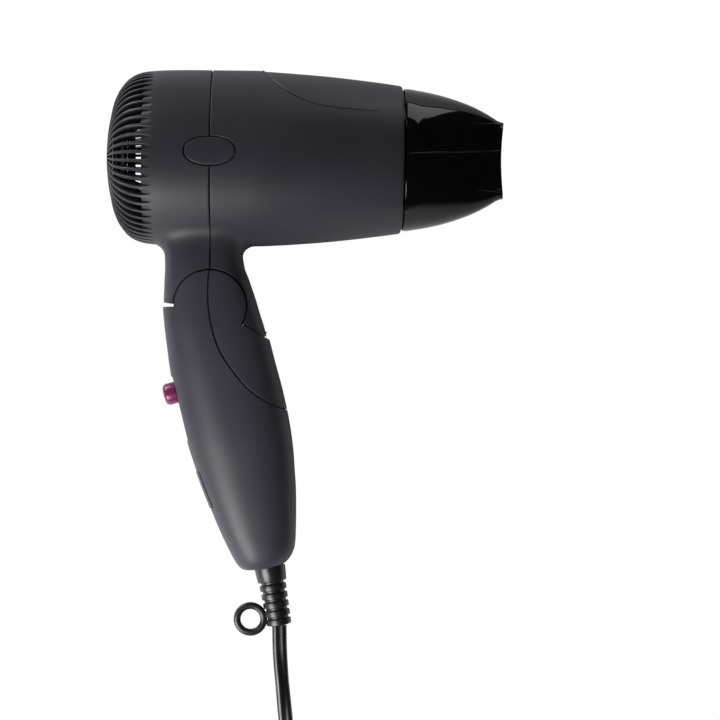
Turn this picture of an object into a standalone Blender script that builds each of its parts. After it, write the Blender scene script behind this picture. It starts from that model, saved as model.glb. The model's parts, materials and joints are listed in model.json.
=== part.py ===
"""Folding travel hair dryer, lying on its side with its cord put away beside it.

Sizes are in millimetres in a drawing frame: X runs along the barrel from the intake grille to the
nozzle, Y runs up from the handle to the barrel, and Z runs across the dryer.  The barrel's axis is
y = z = 0, and x = 0 is the seam between the front and the rear shell.  The hinge axis is parallel
to Z.  The whole drawing is tilted about X by TILT, so that the barrel's side and the handle's end
both rest on the ground, and it is moved so that the origin is the middle of the dryer's footprint.

The cord, its coil and its plug lie on the ground, so they are drawn in the ground frame: the same
X and Y, with Z = 0 on the ground.
"""
from math import cos, hypot, pi, radians, sin, sqrt

import bmesh
import bpy
from mathutils import Matrix, Vector

MM = 0.001
GAP = 0.3

# How it lies.
TILT = radians(8.0)
BARREL_RADIUS = 36.77
FOOTPRINT_CENTRE = (38.25, -80.86)

# Barrel: radius at each place along it, from the dome's tip to the front rim.
BARREL_OUTLINE = [
    (-44.3, 0.0), (-43.5, 10.8), (-40.6, 24.2), (-35.6, 32.2), (-28.0, 35.8), (-10.0, BARREL_RADIUS),
    (18.0, BARREL_RADIUS), (45.0, 35.0), (78.2, 30.95), (79.2, 30.0),
]
BARREL_WALL = 2.0
BARREL_FRONT = 79.2
BARREL_STEPS = 48
SEAM_GAP = 0.3

# Intake grille in the dome.
SLOT_COUNT = 48
SLOT_WIDTH = 2.2
SLOT_REAR = -39.8
SLOT_FRONT = -28.9
SLOT_INNER = 22.5

# Oval caps over the seam, one on each side.
CAP_LENGTH = 20.4
CAP_HEIGHT = 11.2
CAP_DEPTH = 1.1

# Hinge between the neck and the handle.
HINGE = (0.0, -62.5)
KNUCKLE_RADIUS = 15.0
POCKET_RADIUS = 15.4
TONGUE_RADIUS = 14.0
TONGUE_HALF = 13.2
CHEEK_HALF = 13.5
TONGUE_WALL = 1.8
PIN_RADIUS = 3.0
PIN_TIP = 16.5
STOP_NECK = -27.4
STOP_COVER = -28.5
REAR_NECK = 174.0
REAR_HANDLE = 180.0
LIP_TOP = 55.0
LIP_HALF = 16.4
LIP_REACH = 29.0
LIP_PATH_END = -114.0
LIP_EDGE_HALF = 4.0
LIP_ROOM = 0.35

# Neck: (height, rear edge, front edge, half width, roundness of the section).
NECK_WALL = 1.8
NECK_SECTIONS = [
    (-26.0, -36.5, 27.0, 24.5, 2.2), (-33.5, -31.0, 20.0, 20.6, 2.4), (-36.4, -24.1, 16.5, 19.6, 2.6),
    (-39.6, -20.4, 13.9, 19.0, 2.8), (-43.0, -19.4, 13.3, 18.6, 3.0), (-50.0, -19.5, 15.5, 18.5, 3.0),
    (-60.0, -19.8, 19.0, 18.5, 3.0), (-70.0, -19.5, 22.2, 18.5, 3.0), (-80.0, -18.5, 25.2, 18.5, 3.0),
]
NECK_BORE_TOP = (-30.0,) + NECK_SECTIONS[1][1:]

# Handle: the same five numbers for each section, from the knuckle to the end.
HANDLE_WALL = 1.7
END_SLOPE = 0.17
END_SLOPE_FROM = -150.0
HANDLE_END = -171.0
HANDLE_SECTIONS = [
    (-45.0, -20.0, 15.5, 18.5, 3.0), (-56.0, -20.2, 18.6, 18.5, 3.0), (-63.2, -20.2, 20.6, 18.5, 3.0),
    (-70.0, -19.5, 22.6, 18.5, 2.9), (-76.6, -18.7, 24.7, 18.5, 2.8), (-83.3, -17.8, 26.8, 18.5, 2.7),
    (-90.1, -16.6, 28.7, 18.4, 2.6), (-103.5, -13.3, 32.1, 18.2, 2.6), (-116.9, -9.9, 34.5, 17.8, 2.6),
    (-130.3, -5.7, 35.8, 16.9, 2.6), (-143.7, -0.7, 36.5, 15.9, 2.6), (-157.1, 5.4, 36.5, 14.7, 2.6),
    (-166.0, 10.6, 35.4, 13.7, 2.5), (-169.4, 12.6, 33.6, 12.6, 2.4), (-171.0, 15.0, 31.2, 10.6, 2.3),
]
HANDLE_SEAM = [
    (0.0, -40.0), (-0.9, -58.0), (0.6, -69.3), (4.1, -80.3), (10.5, -90.0), (17.6, -97.5),
    (24.6, -102.1), (32.4, -105.2), (60.0, -113.0),
]
SECTION_POINTS = 32

# Switch on the handle's rear face; the knob stands at the upper end, which is off.
SWITCH_POINT = (-14.0, -98.2)
SWITCH_SLOPE = radians(15.2)
SWITCH_TRAVEL = 8.0
KNOB_RADIUS = 4.5
KNOB_HEIGHT = 5.4
STEM_LENGTH = 3.0
STEM_WIDTH = 2.0

# Nozzle: (place along the barrel, half height, half width, roundness of the section).
NOZZLE_SECTIONS = [
    (80.0, 29.75, 29.75, 2.0), (83.0, 29.65, 29.5, 2.0), (88.7, 28.6, 27.4, 2.0),
    (95.5, 27.1, 23.6, 2.1), (102.2, 25.1, 19.0, 2.3), (109.0, 22.45, 14.0, 2.6),
    (114.0, 20.0, 10.6, 2.9), (118.2, 17.6, 8.4, 3.2), (120.8, 16.0, 7.6, 3.4),
]
NOZZLE_WALL = 1.5
NOZZLE_POINTS = 30
NOZZLE_MOUTH = 120.8
SPIGOT_RADIUS = 28.2
SPIGOT_REAR = 74.5

# Strain relief and hanging ring.
BOOT_POINT = (25.6, -170.9)
BOOT_LEAN = radians(9.9)
BOOT_LENGTH = 24.8
BOOT_COLLAR = 6.45
BOOT_RIB = 5.45
BOOT_GROOVE = 4.7
BOOT_RIBS = 5
RING_CENTRE = (17.75, -193.2)
RING_OUTER = 7.1
RING_INNER = 4.1
RING_HALF = 1.5

# Mains cord: a flat two-core cord of 1.8 m, its coil on the ground and its plug beside the coil.
CORD_RADIUS = 1.6
COIL_CENTRE = (4.0, -311.0)
COIL_INNER = 26.8
COIL_OUTER = 40.1
COIL_LOW = 0.8
COIL_HIGH = 12.9
TIE_ANGLE = radians(205)
TIE_WIDTH = 6.0
TIE_THICKNESS = 0.5
# Ground frame, from the strain relief to the coil.
CORD_ROUTE = [
    (29.9, -193.9, 9.6), (30.2, -204.0, 8.2), (30.9, -213.6, 6.8), (31.9, -223.5, 5.3),
    (32.9, -233.0, 3.9), (33.8, -241.5, 2.6), (33.7, -249.0, 1.8), (31.6, -256.8, 1.7),
    (27.6, -263.2, 2.0), (22.3, -267.7, 2.6), (17.4, -270.2, 3.2),
]
# Ground frame, from the coil to the plug.
TAIL_ROUTE = [
    (41.9, -329.3, 10.1), (46.6, -325.4, 10.8), (51.9, -321.6, 11.9), (57.3, -318.3, 12.9),
]
PLUG_POINT = (57.9, -317.9, 13.0)
PLUG_HEADING = radians(29)
# Along the plug from the cord: (place, half width, half height, roundness).
PLUG_SECTIONS = [
    (0.0, 4.2, 4.2, 2.0), (9.0, 5.2, 5.0, 2.0), (18.0, 9.5, 7.8, 2.2), (26.0, 15.0, 11.4, 2.5),
    (31.0, 18.0, 12.9, 2.8), (38.5, 18.5, 13.0, 2.8),
]
PLUG_PIN_LENGTH = 19.0
PLUG_PIN_RADIUS = 2.4
PLUG_PIN_SPACING = 9.5

MATERIALS = {
    # name: (red, green, blue, roughness, metallic)
    "soft_touch_charcoal": (0.028, 0.027, 0.033, 0.55, 0.0),
    "gloss_black": (0.006, 0.006, 0.007, 0.08, 0.0),
    "magenta_pearl": (0.26, 0.032, 0.128, 0.3, 0.35),
    "black_rubber": (0.012, 0.012, 0.014, 0.5, 0.0),
    "black_nylon": (0.02, 0.02, 0.022, 0.45, 0.0),
    "steel": (0.5, 0.5, 0.52, 0.3, 1.0),
    "brass": (0.72, 0.5, 0.24, 0.28, 1.0),
    "mica": (0.52, 0.43, 0.3, 0.6, 0.0),
    "heater_wire": (0.3, 0.28, 0.27, 0.4, 1.0),
    "magnet": (0.09, 0.09, 0.1, 0.6, 0.4),
    "copper": (0.7, 0.33, 0.18, 0.35, 1.0),
    "circuit_board": (0.05, 0.2, 0.08, 0.5, 0.0),
    "capacitor_yellow": (0.75, 0.55, 0.08, 0.45, 0.0),
}


# ------------------------------------------------------------------ frames and bodies

def empty(name, matrix):
    """An empty at a world matrix."""
    marker = bpy.data.objects.new(name, None)
    marker.empty_display_size = 0.01
    bpy.context.scene.collection.objects.link(marker)
    marker.matrix_world = matrix
    return marker


def shift(x, y, z):
    """A move in millimetres."""
    return Matrix.Translation((x * MM, y * MM, z * MM))


for old in list(bpy.data.objects):
    bpy.data.objects.remove(old, do_unlink=True)

GROUND = shift(-FOOTPRINT_CENTRE[0], -FOOTPRINT_CENTRE[1], 0.0)
DRAWING = GROUND @ shift(0.0, 0.0, BARREL_RADIUS) @ Matrix.Rotation(TILT, 4, 'X')
BODIES = {
    "barrel": empty("barrel_axis", DRAWING),
    "fan": empty("fan_axis", DRAWING),
    "nozzle": empty("nozzle_axis", DRAWING),
    "handle": empty("hinge_axis", DRAWING @ shift(HINGE[0], HINGE[1], 0.0)),
    "switch": empty("switch_axis", DRAWING @ shift(SWITCH_POINT[0], SWITCH_POINT[1], 0.0)),
}
bpy.context.view_layer.update()
BODY_FRAMES = {name: marker.matrix_world.copy() for name, marker in BODIES.items()}


# ------------------------------------------------------------------ materials

def material(name):
    """The named material, made once."""
    found = bpy.data.materials.get(name)
    if found:
        return found
    made = bpy.data.materials.new(name)
    made.use_nodes = True
    shader = made.node_tree.nodes["Principled BSDF"]
    red, green, blue, roughness, metallic = MATERIALS[name]
    shader.inputs["Base Color"].default_value = (red, green, blue, 1.0)
    shader.inputs["Roughness"].default_value = roughness
    shader.inputs["Metallic"].default_value = metallic
    made.diffuse_color = (red, green, blue, 1.0)
    return made


# ------------------------------------------------------------------ mesh helpers

def settle(name, bm, body, finish, frame=DRAWING):
    """Turn a mesh drawn in millimetres in a frame into a named object on its body."""
    bmesh.ops.remove_doubles(bm, verts=bm.verts, dist=2e-3)
    loose = [edge for edge in bm.edges if not edge.link_faces]
    bmesh.ops.delete(bm, geom=loose, context='EDGES')
    bmesh.ops.recalc_face_normals(bm, faces=bm.faces)
    if bm.calc_volume(signed=True) < 0:
        bmesh.ops.reverse_faces(bm, faces=bm.faces)
    bmesh.ops.transform(bm, matrix=Matrix.Scale(MM, 4), verts=bm.verts)
    bmesh.ops.transform(bm, matrix=BODY_FRAMES[body].inverted() @ frame, verts=bm.verts)
    mesh = bpy.data.meshes.new(name)
    bm.to_mesh(mesh)
    bm.free()
    piece = bpy.data.objects.new(name, mesh)
    bpy.context.scene.collection.objects.link(piece)
    piece.parent = BODIES[body]
    if finish:
        mesh.materials.append(material(finish))
        mesh.shade_smooth()
        mesh.set_sharp_from_angle(angle=radians(35))
    else:
        piece.hide_render = True
        piece.display_type = 'WIRE'
    return piece


def add_turned(bm, profile, place, steps):
    """Spin a closed profile of (along, radius) about the local Z of place."""
    verts = [bm.verts.new(place @ Vector((radius, 0.0, along))) for along, radius in profile]
    edges = [bm.edges.new((verts[i], verts[(i + 1) % len(verts)])) for i in range(len(verts))]
    axis = place.to_3x3() @ Vector((0.0, 0.0, 1.0))
    bmesh.ops.spin(bm, geom=edges, cent=place.translation, axis=axis, angle=2 * pi, steps=steps)
    bmesh.ops.remove_doubles(bm, verts=bm.verts, dist=2e-3)


def add_prism(bm, outline, low, high, place=None):
    """A flat outline (x, y) pushed from low to high along the local Z of place."""
    place = place or Matrix()
    below = [bm.verts.new(place @ Vector((x, y, low))) for x, y in outline]
    above = [bm.verts.new(place @ Vector((x, y, high))) for x, y in outline]
    count = len(outline)
    for i in range(count):
        j = (i + 1) % count
        bm.faces.new((below[i], below[j], above[j], above[i]))
    bm.faces.new(list(reversed(below)))
    bm.faces.new(above)


def add_loft(bm, rings):
    """A closed skin through rings of points, with flat ends."""
    rows = [[bm.verts.new(point) for point in ring] for ring in rings]
    count = len(rows[0])
    for lower, upper in zip(rows, rows[1:]):
        for i in range(count):
            j = (i + 1) % count
            bm.faces.new((lower[i], lower[j], upper[j], upper[i]))
    bm.faces.new(list(reversed(rows[0])))
    bm.faces.new(rows[-1])


def facing(origin, direction, side=(0.0, 0.0, 1.0)):
    """A frame at origin whose Z is direction and whose Y is as near to side as it can be."""
    z = Vector(direction).normalized()
    x = Vector(side).cross(z).normalized()
    y = z.cross(x)
    turn = Matrix((x, y, z)).transposed().to_4x4()
    return Matrix.Translation(origin) @ turn


ALONG_X = facing((0.0, 0.0, 0.0), (1.0, 0.0, 0.0))


def turned(name, profile, body, finish, place=ALONG_X, steps=28, frame=DRAWING):
    bm = bmesh.new()
    add_turned(bm, profile, place, steps)
    return settle(name, bm, body, finish, frame)


def prism(name, outline, low, high, body, finish, place=None, frame=DRAWING):
    bm = bmesh.new()
    add_prism(bm, outline, low, high, place)
    return settle(name, bm, body, finish, frame)


def rectangle(low_x, low_y, high_x, high_y):
    return [(low_x, low_y), (high_x, low_y), (high_x, high_y), (low_x, high_y)]


def circle(radius, count, centre=(0.0, 0.0)):
    steps = [2 * pi * i / count for i in range(count)]
    return [(centre[0] + radius * cos(a), centre[1] + radius * sin(a)) for a in steps]


def arc(radius, start, end, count, centre=(0.0, 0.0)):
    steps = [radians(start + (end - start) * i / count) for i in range(count + 1)]
    return [(centre[0] + radius * cos(a), centre[1] + radius * sin(a)) for a in steps]


def sector(inner, outer, start, end):
    """A slice of a ring about the hinge, between two angles in degrees."""
    near = arc(inner, start, end, 24, HINGE)
    far = arc(outer, end, start, 12, HINGE)
    return near + far


def superellipse(half_a, half_b, power, count):
    """Points of a rounded box section about its middle."""
    ring = []
    for i in range(count):
        a = 2 * pi * i / count
        u = half_a * abs(cos(a)) ** (2 / power) * (1 if cos(a) >= 0 else -1)
        v = half_b * abs(sin(a)) ** (2 / power) * (1 if sin(a) >= 0 else -1)
        ring.append((u, v))
    return ring


def level_rings(sections, inset):
    """Rings of a neck or handle section list, drawn in by inset.

    Each is level in Y, apart from the last ones of the handle, which lean as its end does.
    """
    rings = []
    for height, rear, front, half, power in sections:
        slope = END_SLOPE * max(0.0, (END_SLOPE_FROM - height) / (END_SLOPE_FROM - HANDLE_END))
        middle = (rear + front) / 2
        ring = superellipse((front - rear) / 2 - inset, half - inset, power, SECTION_POINTS)
        rings.append([(middle + u, height + slope * u, v) for u, v in ring])
    return rings


def subtract(piece, cutter, solver='EXACT'):
    change = piece.modifiers.new(cutter.name, 'BOOLEAN')
    change.operation = 'DIFFERENCE'
    change.solver = solver
    change.object = cutter


def unite(piece, other, solver='EXACT'):
    change = piece.modifiers.new(other.name, 'BOOLEAN')
    change.operation = 'UNION'
    change.solver = solver
    change.object = other


def smooth_route(points, spacing):
    """Points about spacing apart on a smooth curve through the route's own points."""
    route = [Vector(point) for point in points]
    route = [2 * route[0] - route[1]] + route + [2 * route[-1] - route[-2]]
    made = []
    for a, b, c, d in zip(route, route[1:], route[2:], route[3:]):
        count = max(1, round((c - b).length / spacing))
        for i in range(count):
            t = i / count
            made.append(0.5 * (2 * b + (c - a) * t + (2 * a - 5 * b + 4 * c - d) * t ** 2
                               + (3 * b - a - 3 * c + d) * t ** 3))
    made.append(route[-2])
    return made


def tube(name, points, radius, body, finish, frame=DRAWING, spacing=8.0, resolution=2):
    """A round wire or cord: a bevelled curve with filled ends."""
    change = BODY_FRAMES[body].inverted() @ frame
    curve = bpy.data.curves.new(name, 'CURVE')
    curve.dimensions = '3D'
    curve.bevel_depth = radius * MM
    curve.bevel_resolution = resolution
    curve.use_fill_caps = True
    route = smooth_route(points, spacing)
    spline = curve.splines.new('POLY')
    spline.points.add(len(route) - 1)
    for point, place in zip(spline.points, route):
        point.co = (*(change @ (place * MM)), 1.0)
    curve.materials.append(material(finish))
    piece = bpy.data.objects.new(name, curve)
    bpy.context.scene.collection.objects.link(piece)
    piece.parent = BODIES[body]
    return piece


def offset(outline, distance):
    """An outline of (along, radius) moved inwards by distance, square to itself."""
    moved = []
    for i, (x, r) in enumerate(outline):
        before = outline[max(i - 1, 0)]
        after = outline[min(i + 1, len(outline) - 1)]
        dx, dr = after[0] - before[0], after[1] - before[1]
        size = hypot(dx, dr)
        moved.append((x + distance * dr / size, max(r - distance * dx / size, 0.0)))
    return moved


# ------------------------------------------------------------------ barrel and neck shells

def barrel_bore():
    """The inside of the barrel, open at the front."""
    inside = offset(BARREL_OUTLINE[:-1], BARREL_WALL)
    inside[0] = (BARREL_OUTLINE[0][0] + BARREL_WALL, 0.0)
    last = inside[-1][1]
    profile = inside + [(BARREL_FRONT + 5.0, last), (BARREL_FRONT + 5.0, 0.0)]
    return turned("barrel_bore_cutter", profile, "barrel", None, steps=BARREL_STEPS)


def hinge_cylinders(name, radius, near, far, body):
    """A pair of discs about the hinge, one on each side."""
    bm = bmesh.new()
    ring = circle(radius, 40, HINGE)
    add_prism(bm, ring, near, far)
    add_prism(bm, ring, -far, -near)
    return settle(name, bm, body, None)


def side_slabs(name, outline, near, far, body):
    """The same outline cut from both sides."""
    bm = bmesh.new()
    add_prism(bm, outline, near, far)
    add_prism(bm, outline, -far, -near)
    return settle(name, bm, body, None)


def neck_bore():
    """The inside of the neck, which leaves the tongue's two cheeks and the lip's thinner sides."""
    sections = [NECK_BORE_TOP] + NECK_SECTIONS[2:-1] + [(-84.0,) + NECK_SECTIONS[-1][1:]]
    bm = bmesh.new()
    add_loft(bm, level_rings(sections, NECK_WALL))
    bore = settle("neck_bore_cutter", bm, "barrel", None)
    wall = hinge_cylinders("tongue_wall_guide", POCKET_RADIUS + NECK_WALL, TONGUE_HALF - TONGUE_WALL,
                           30.0, "barrel")
    subtract(bore, wall)
    lip = side_slabs("lip_wall_guide", sector(POCKET_RADIUS + 1.0, 44.0, STOP_NECK - 6, LIP_TOP + 5),
                     LIP_HALF - NECK_WALL, 30.0, "barrel")
    subtract(bore, lip, 'MANIFOLD')
    return bore


def grille_slots():
    """The slots around the dome, one thin block each."""
    bm = bmesh.new()
    outline = rectangle(SLOT_REAR, -SLOT_WIDTH / 2, SLOT_FRONT, SLOT_WIDTH / 2)
    for i in range(SLOT_COUNT):
        spin = Matrix.Rotation(2 * pi * (i + 0.5) / SLOT_COUNT, 4, 'X')
        add_prism(bm, outline, SLOT_INNER, 40.0, spin)
    return settle("grille_slot_cutter", bm, "barrel", None)


def oval(length, height, count=28):
    return superellipse(length / 2, height / 2, 2.2, count)


def shells():
    """The front and the rear shell: barrel and neck in one, split at the seam."""
    neck = bmesh.new()
    add_loft(neck, level_rings(NECK_SECTIONS, 0.0))
    neck = settle("neck_guide", neck, "barrel", None)
    trim = prism("neck_trim_cutter", sector(TONGUE_RADIUS, 75.0, REAR_NECK, 360 + STOP_NECK),
                 -40.0, 40.0, "barrel", None)
    pockets = hinge_cylinders("knuckle_pocket_cutter", POCKET_RADIUS, TONGUE_HALF, 40.0, "barrel")
    lip = side_slabs("lip_side_cutter", sector(KNUCKLE_RADIUS, LIP_REACH, STOP_NECK - 4, LIP_TOP),
                     LIP_HALF, 40.0, "barrel")
    pin_hole = prism("tongue_hole_cutter", circle(PIN_RADIUS + GAP, 20, HINGE), -20.0, 20.0, "barrel", None)
    caps = bmesh.new()
    depth = BARREL_RADIUS - CAP_DEPTH - GAP
    add_prism(caps, oval(CAP_LENGTH + 2 * GAP, CAP_HEIGHT + 2 * GAP), depth, 45.0)
    add_prism(caps, oval(CAP_LENGTH + 2 * GAP, CAP_HEIGHT + 2 * GAP), -45.0, -depth)
    caps = settle("cap_recess_cutter", caps, "barrel", None)
    screw_hole = turned("neck_screw_hole_cutter", screw_profile(1.5 + GAP, 3.2, 15.2, 12.0), "barrel", None,
                        place=facing((6.0, -46.2, 0.0), (-1.0, 0.0, 0.0)), steps=20)
    boss = prism("neck_boss_guide", rectangle(-18.6, -49.6, 12.4, -42.8), -3.6, 3.6, "barrel", None)
    # The neck's thin walls leave EXACT with open edges, so these cuts use MANIFOLD.
    cutters = [trim, pockets, lip, barrel_bore(), neck_bore(), pin_hole, caps]
    half = SEAM_GAP / 2
    sides = {
        "rear_shell": prism("front_half_cutter", rectangle(-half, -110, 140, 60), -60, 60, "barrel", None),
        "front_shell": prism("rear_half_cutter", rectangle(-140, -110, half, 60), -60, 60, "barrel", None),
    }
    for name, other_half in sides.items():
        outline = BARREL_OUTLINE + [(BARREL_FRONT, 0.0)]
        shell = turned(name, outline, "barrel", "soft_touch_charcoal", steps=BARREL_STEPS)
        unite(shell, neck)
        for cutter in cutters:
            subtract(shell, cutter, 'MANIFOLD')
        unite(shell, boss, 'MANIFOLD')
        subtract(shell, screw_hole, 'MANIFOLD')
        subtract(shell, other_half, 'MANIFOLD')
        if name == "rear_shell":
            subtract(shell, grille_slots())


def screw_profile(shank, head, length, head_length):
    """A screw along its axis: the shank from 0 to length, then the head."""
    return [(0.0, 0.0), (0.0, shank), (length, shank), (length, head), (length + head_length, head),
            (length + head_length, 0.0)]


def screw(name, tip, direction, length, body, shank=1.5, head=2.7, head_length=1.8):
    """A self-tapping screw from its tip towards its head."""
    return turned(name, screw_profile(shank, head, length, head_length), body, "steel",
                  place=facing(tip, direction), steps=16)


def side_caps():
    """The oval caps that cover the seam on both sides."""
    for name, sign in (("side_cap_left", 1), ("side_cap_right", -1)):
        outline = oval(CAP_LENGTH, CAP_HEIGHT)
        rings = []
        for scale, height in ((1.0, BARREL_RADIUS - CAP_DEPTH), (1.0, None), (0.7, None), (0.0001, None)):
            ring = []
            for u, v in outline:
                x, y = u * scale, v * scale
                level = height if height else sqrt(BARREL_RADIUS ** 2 - y ** 2) - 0.05
                ring.append((x, y, sign * level))
            rings.append(ring)
        bm = bmesh.new()
        add_loft(bm, rings)
        settle(name, bm, "barrel", "soft_touch_charcoal")


# ------------------------------------------------------------------ inside the barrel

SCREEN_THICK = 0.9
FAN_RADIUS = 30.6
DUCT_OUTER = 33.9
DUCT_INNER = 31.4
DUCT_REAR = -22.0
DUCT_FRONT = 10.0
MOTOR_RADIUS = 12.0
MOTOR_REAR = -5.0
MOTOR_FRONT = 17.0


def intake_filter():
    """A dust screen moulded to the end of the dome, behind the slots."""
    dome = BARREL_OUTLINE[:3]
    outside = offset(dome, BARREL_WALL + GAP)
    inside = offset(dome, BARREL_WALL + GAP + SCREEN_THICK)
    outside[0] = (dome[0][0] + BARREL_WALL + GAP, 0.0)
    inside[0] = (outside[0][0] + SCREEN_THICK, 0.0)
    turned("intake_filter", outside + list(reversed(inside)), "barrel", "black_nylon", steps=24)


def fan_duct():
    """The ring around the impeller, with stator vanes that carry the motor's sleeve."""
    ring = [(DUCT_REAR, 0.0), (DUCT_REAR, DUCT_OUTER), (DUCT_FRONT, DUCT_OUTER), (DUCT_FRONT, 0.0)]
    duct = turned("fan_duct", ring, "barrel", "black_nylon", steps=30)
    spokes_from = MOTOR_REAR + 1.0
    bore = [(DUCT_REAR - 2, 0.0), (DUCT_REAR - 2, DUCT_INNER), (spokes_from, DUCT_INNER), (spokes_from, 0.0)]
    subtract(duct, turned("duct_bore_cutter", bore, "barrel", None, steps=30))
    bm = bmesh.new()
    sleeve = MOTOR_RADIUS + GAP
    add_prism(bm, circle(sleeve, 24), DUCT_REAR - 4, DUCT_FRONT + 4, ALONG_X)
    vanes = 6
    for i in range(vanes):
        start = 360 / vanes * i
        inner = arc(sleeve + 1.6, start + 3.6, start + 360 / vanes - 3.6, 5)
        outer = arc(DUCT_INNER, start + 360 / vanes - 1.5, start + 1.5, 5)
        add_prism(bm, inner + outer, DUCT_REAR - 4, DUCT_FRONT + 4, ALONG_X)
    subtract(duct, settle("duct_spoke_cutter", bm, "barrel", None))


def motor():
    """A small brushed motor: can, two magnets, rotor on its shaft, end cap and rectifier board."""
    wall = 1.2
    can = [(MOTOR_REAR, 2.6), (MOTOR_REAR, MOTOR_RADIUS), (MOTOR_FRONT, MOTOR_RADIUS),
           (MOTOR_FRONT, MOTOR_RADIUS - wall), (MOTOR_REAR + wall, MOTOR_RADIUS - wall),
           (MOTOR_REAR + wall, 2.6)]
    turned("motor_can", can, "barrel", "steel")
    for name, start in (("motor_magnet_upper", 30), ("motor_magnet_lower", 210)):
        outline = arc(10.5, start, start + 120, 10) + arc(8.4, start + 120, start, 10)
        prism(name, outline, MOTOR_REAR + 3, MOTOR_FRONT - 3, "barrel", "magnet", place=ALONG_X)
    cap_front = MOTOR_FRONT + 3.0
    cap = [(MOTOR_FRONT + GAP, 1.6), (MOTOR_FRONT + GAP, 11.6), (cap_front, 11.6), (cap_front, 1.6)]
    turned("motor_end_cap", cap, "barrel", "black_nylon")
    rotor = [(MOTOR_REAR + 3, 1.3), (MOTOR_REAR + 3, 7.6), (MOTOR_FRONT - 4, 7.6), (MOTOR_FRONT - 4, 1.3)]
    turned("motor_rotor", rotor, "fan", "copper", steps=24)
    shaft_front = cap_front + 0.8
    shaft = [(-20.5, 0.0), (-20.5, 1.0), (shaft_front, 1.0), (shaft_front, 0.0)]
    turned("motor_shaft", shaft, "fan", "steel", steps=12)
    board = prism("rectifier_board", circle(11.0, 24), shaft_front + 0.8, shaft_front + 2.4, "barrel",
                  "circuit_board", place=ALONG_X)
    diodes = bmesh.new()
    for i in range(4):
        turn = Matrix.Rotation(pi / 2 * i + pi / 4, 4, 'X')
        add_prism(diodes, rectangle(shaft_front + 2.2, 4.0, shaft_front + 4.6, 8.6), -1.2, 1.2, turn)
    unite(board, settle("diode_guide", diodes, "barrel", None))


def impeller():
    """An axial impeller: a hub and seven twisted blades."""
    hub = [(-19.5, 1.3), (-19.5, 7.0), (-17.5, 9.0), (-8.0, 9.0), (-8.0, 1.3)]
    wheel = turned("impeller", hub, "fan", "black_nylon", steps=28)
    blades = bmesh.new()
    for i in range(7):
        turn = Matrix.Rotation(2 * pi * i / 7, 4, 'X')
        rings = []
        for radius, pitch in ((8.0, 50), (16.0, 36), (24.0, 27), (FAN_RADIUS, 22)):
            chord = 6.4
            ring = []
            for along, thick in ((-chord, -0.5), (0.0, -0.9), (chord, -0.5), (chord, 0.5), (0.0, 0.9),
                                 (-chord, 0.5)):
                a = radians(pitch)
                x = -14.0 + along * sin(a) + thick * cos(a)
                side = along * cos(a) - thick * sin(a)
                ring.append(turn @ Vector((x, side, radius)))
            rings.append(ring)
        add_loft(blades, rings)
    unite(wheel, settle("blade_guide", blades, "fan", None))


HEATER_REAR = 27.0
HEATER_FRONT = 66.0
HEATER_HALF = 22.6
COIL_RADIUS = 23.7


def heater():
    """Two crossed mica boards, the element wound around them, and the mica sleeve outside."""
    middle = (HEATER_REAR + HEATER_FRONT) / 2
    slot = 0.7
    upright = [(HEATER_REAR, -HEATER_HALF), (HEATER_FRONT, -HEATER_HALF), (HEATER_FRONT, -slot),
               (middle - GAP, -slot), (middle - GAP, slot), (HEATER_FRONT, slot),
               (HEATER_FRONT, HEATER_HALF), (HEATER_REAR, HEATER_HALF)]
    prism("mica_board_upright", upright, -0.35, 0.35, "barrel", "mica")
    flat = [(HEATER_REAR, -HEATER_HALF), (HEATER_FRONT, -HEATER_HALF), (HEATER_FRONT, HEATER_HALF),
            (HEATER_REAR, HEATER_HALF), (HEATER_REAR, slot), (middle, slot), (middle, -slot),
            (HEATER_REAR, -slot)]
    prism("mica_board_flat", flat, -0.35, 0.35, "barrel", "mica", place=Matrix.Rotation(pi / 2, 4, 'X'))
    turns = 6
    length = HEATER_FRONT - HEATER_REAR - 5.0
    steps = turns * 12
    winding = []
    for i in range(steps + 1):
        a = 2 * pi * turns * i / steps
        winding.append((HEATER_REAR + 2.5 + length * i / steps, COIL_RADIUS * cos(a), COIL_RADIUS * sin(a)))
    tube("heating_element", winding, 0.55, "barrel", "heater_wire", spacing=40.0, resolution=0)
    sleeve = [(HEATER_REAR - 2, 26.4), (HEATER_REAR - 2, 27.0), (HEATER_FRONT + 2, 27.0),
              (HEATER_FRONT + 2, 26.4)]
    turned("heater_sleeve", sleeve, "barrel", "mica", steps=40)
    prism("thermostat", rectangle(50.0, 5.0, 60.0, 11.0), 0.65, 3.8, "barrel", "steel")
    fuse = [(30.0, 0.0), (30.0, 1.4), (41.0, 1.4), (41.0, 0.0)]
    turned("thermal_fuse", fuse, "barrel", "steel", steps=12, place=facing((0.0, -9.0, 2.1), (1, 0, 0)))


def outlet_grille():
    """The guard at the front of the barrel."""
    plate = prism("outlet_grille", circle(28.8, 40), 69.0, 72.5, "barrel", "black_nylon", place=ALONG_X)
    reach = 26.0
    bars = bmesh.new()
    for i in range(-3, 4):
        middle = i * 7.2
        low, high = middle - 2.7, middle + 2.7
        half = sqrt(reach ** 2 - max(abs(low), abs(high)) ** 2)
        add_prism(bars, rectangle(low, -half, high, -0.8), 66.0, 76.0, ALONG_X)
        add_prism(bars, rectangle(low, 0.8, high, half), 66.0, 76.0, ALONG_X)
    subtract(plate, settle("grille_bar_cutter", bars, "barrel", None))


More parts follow.
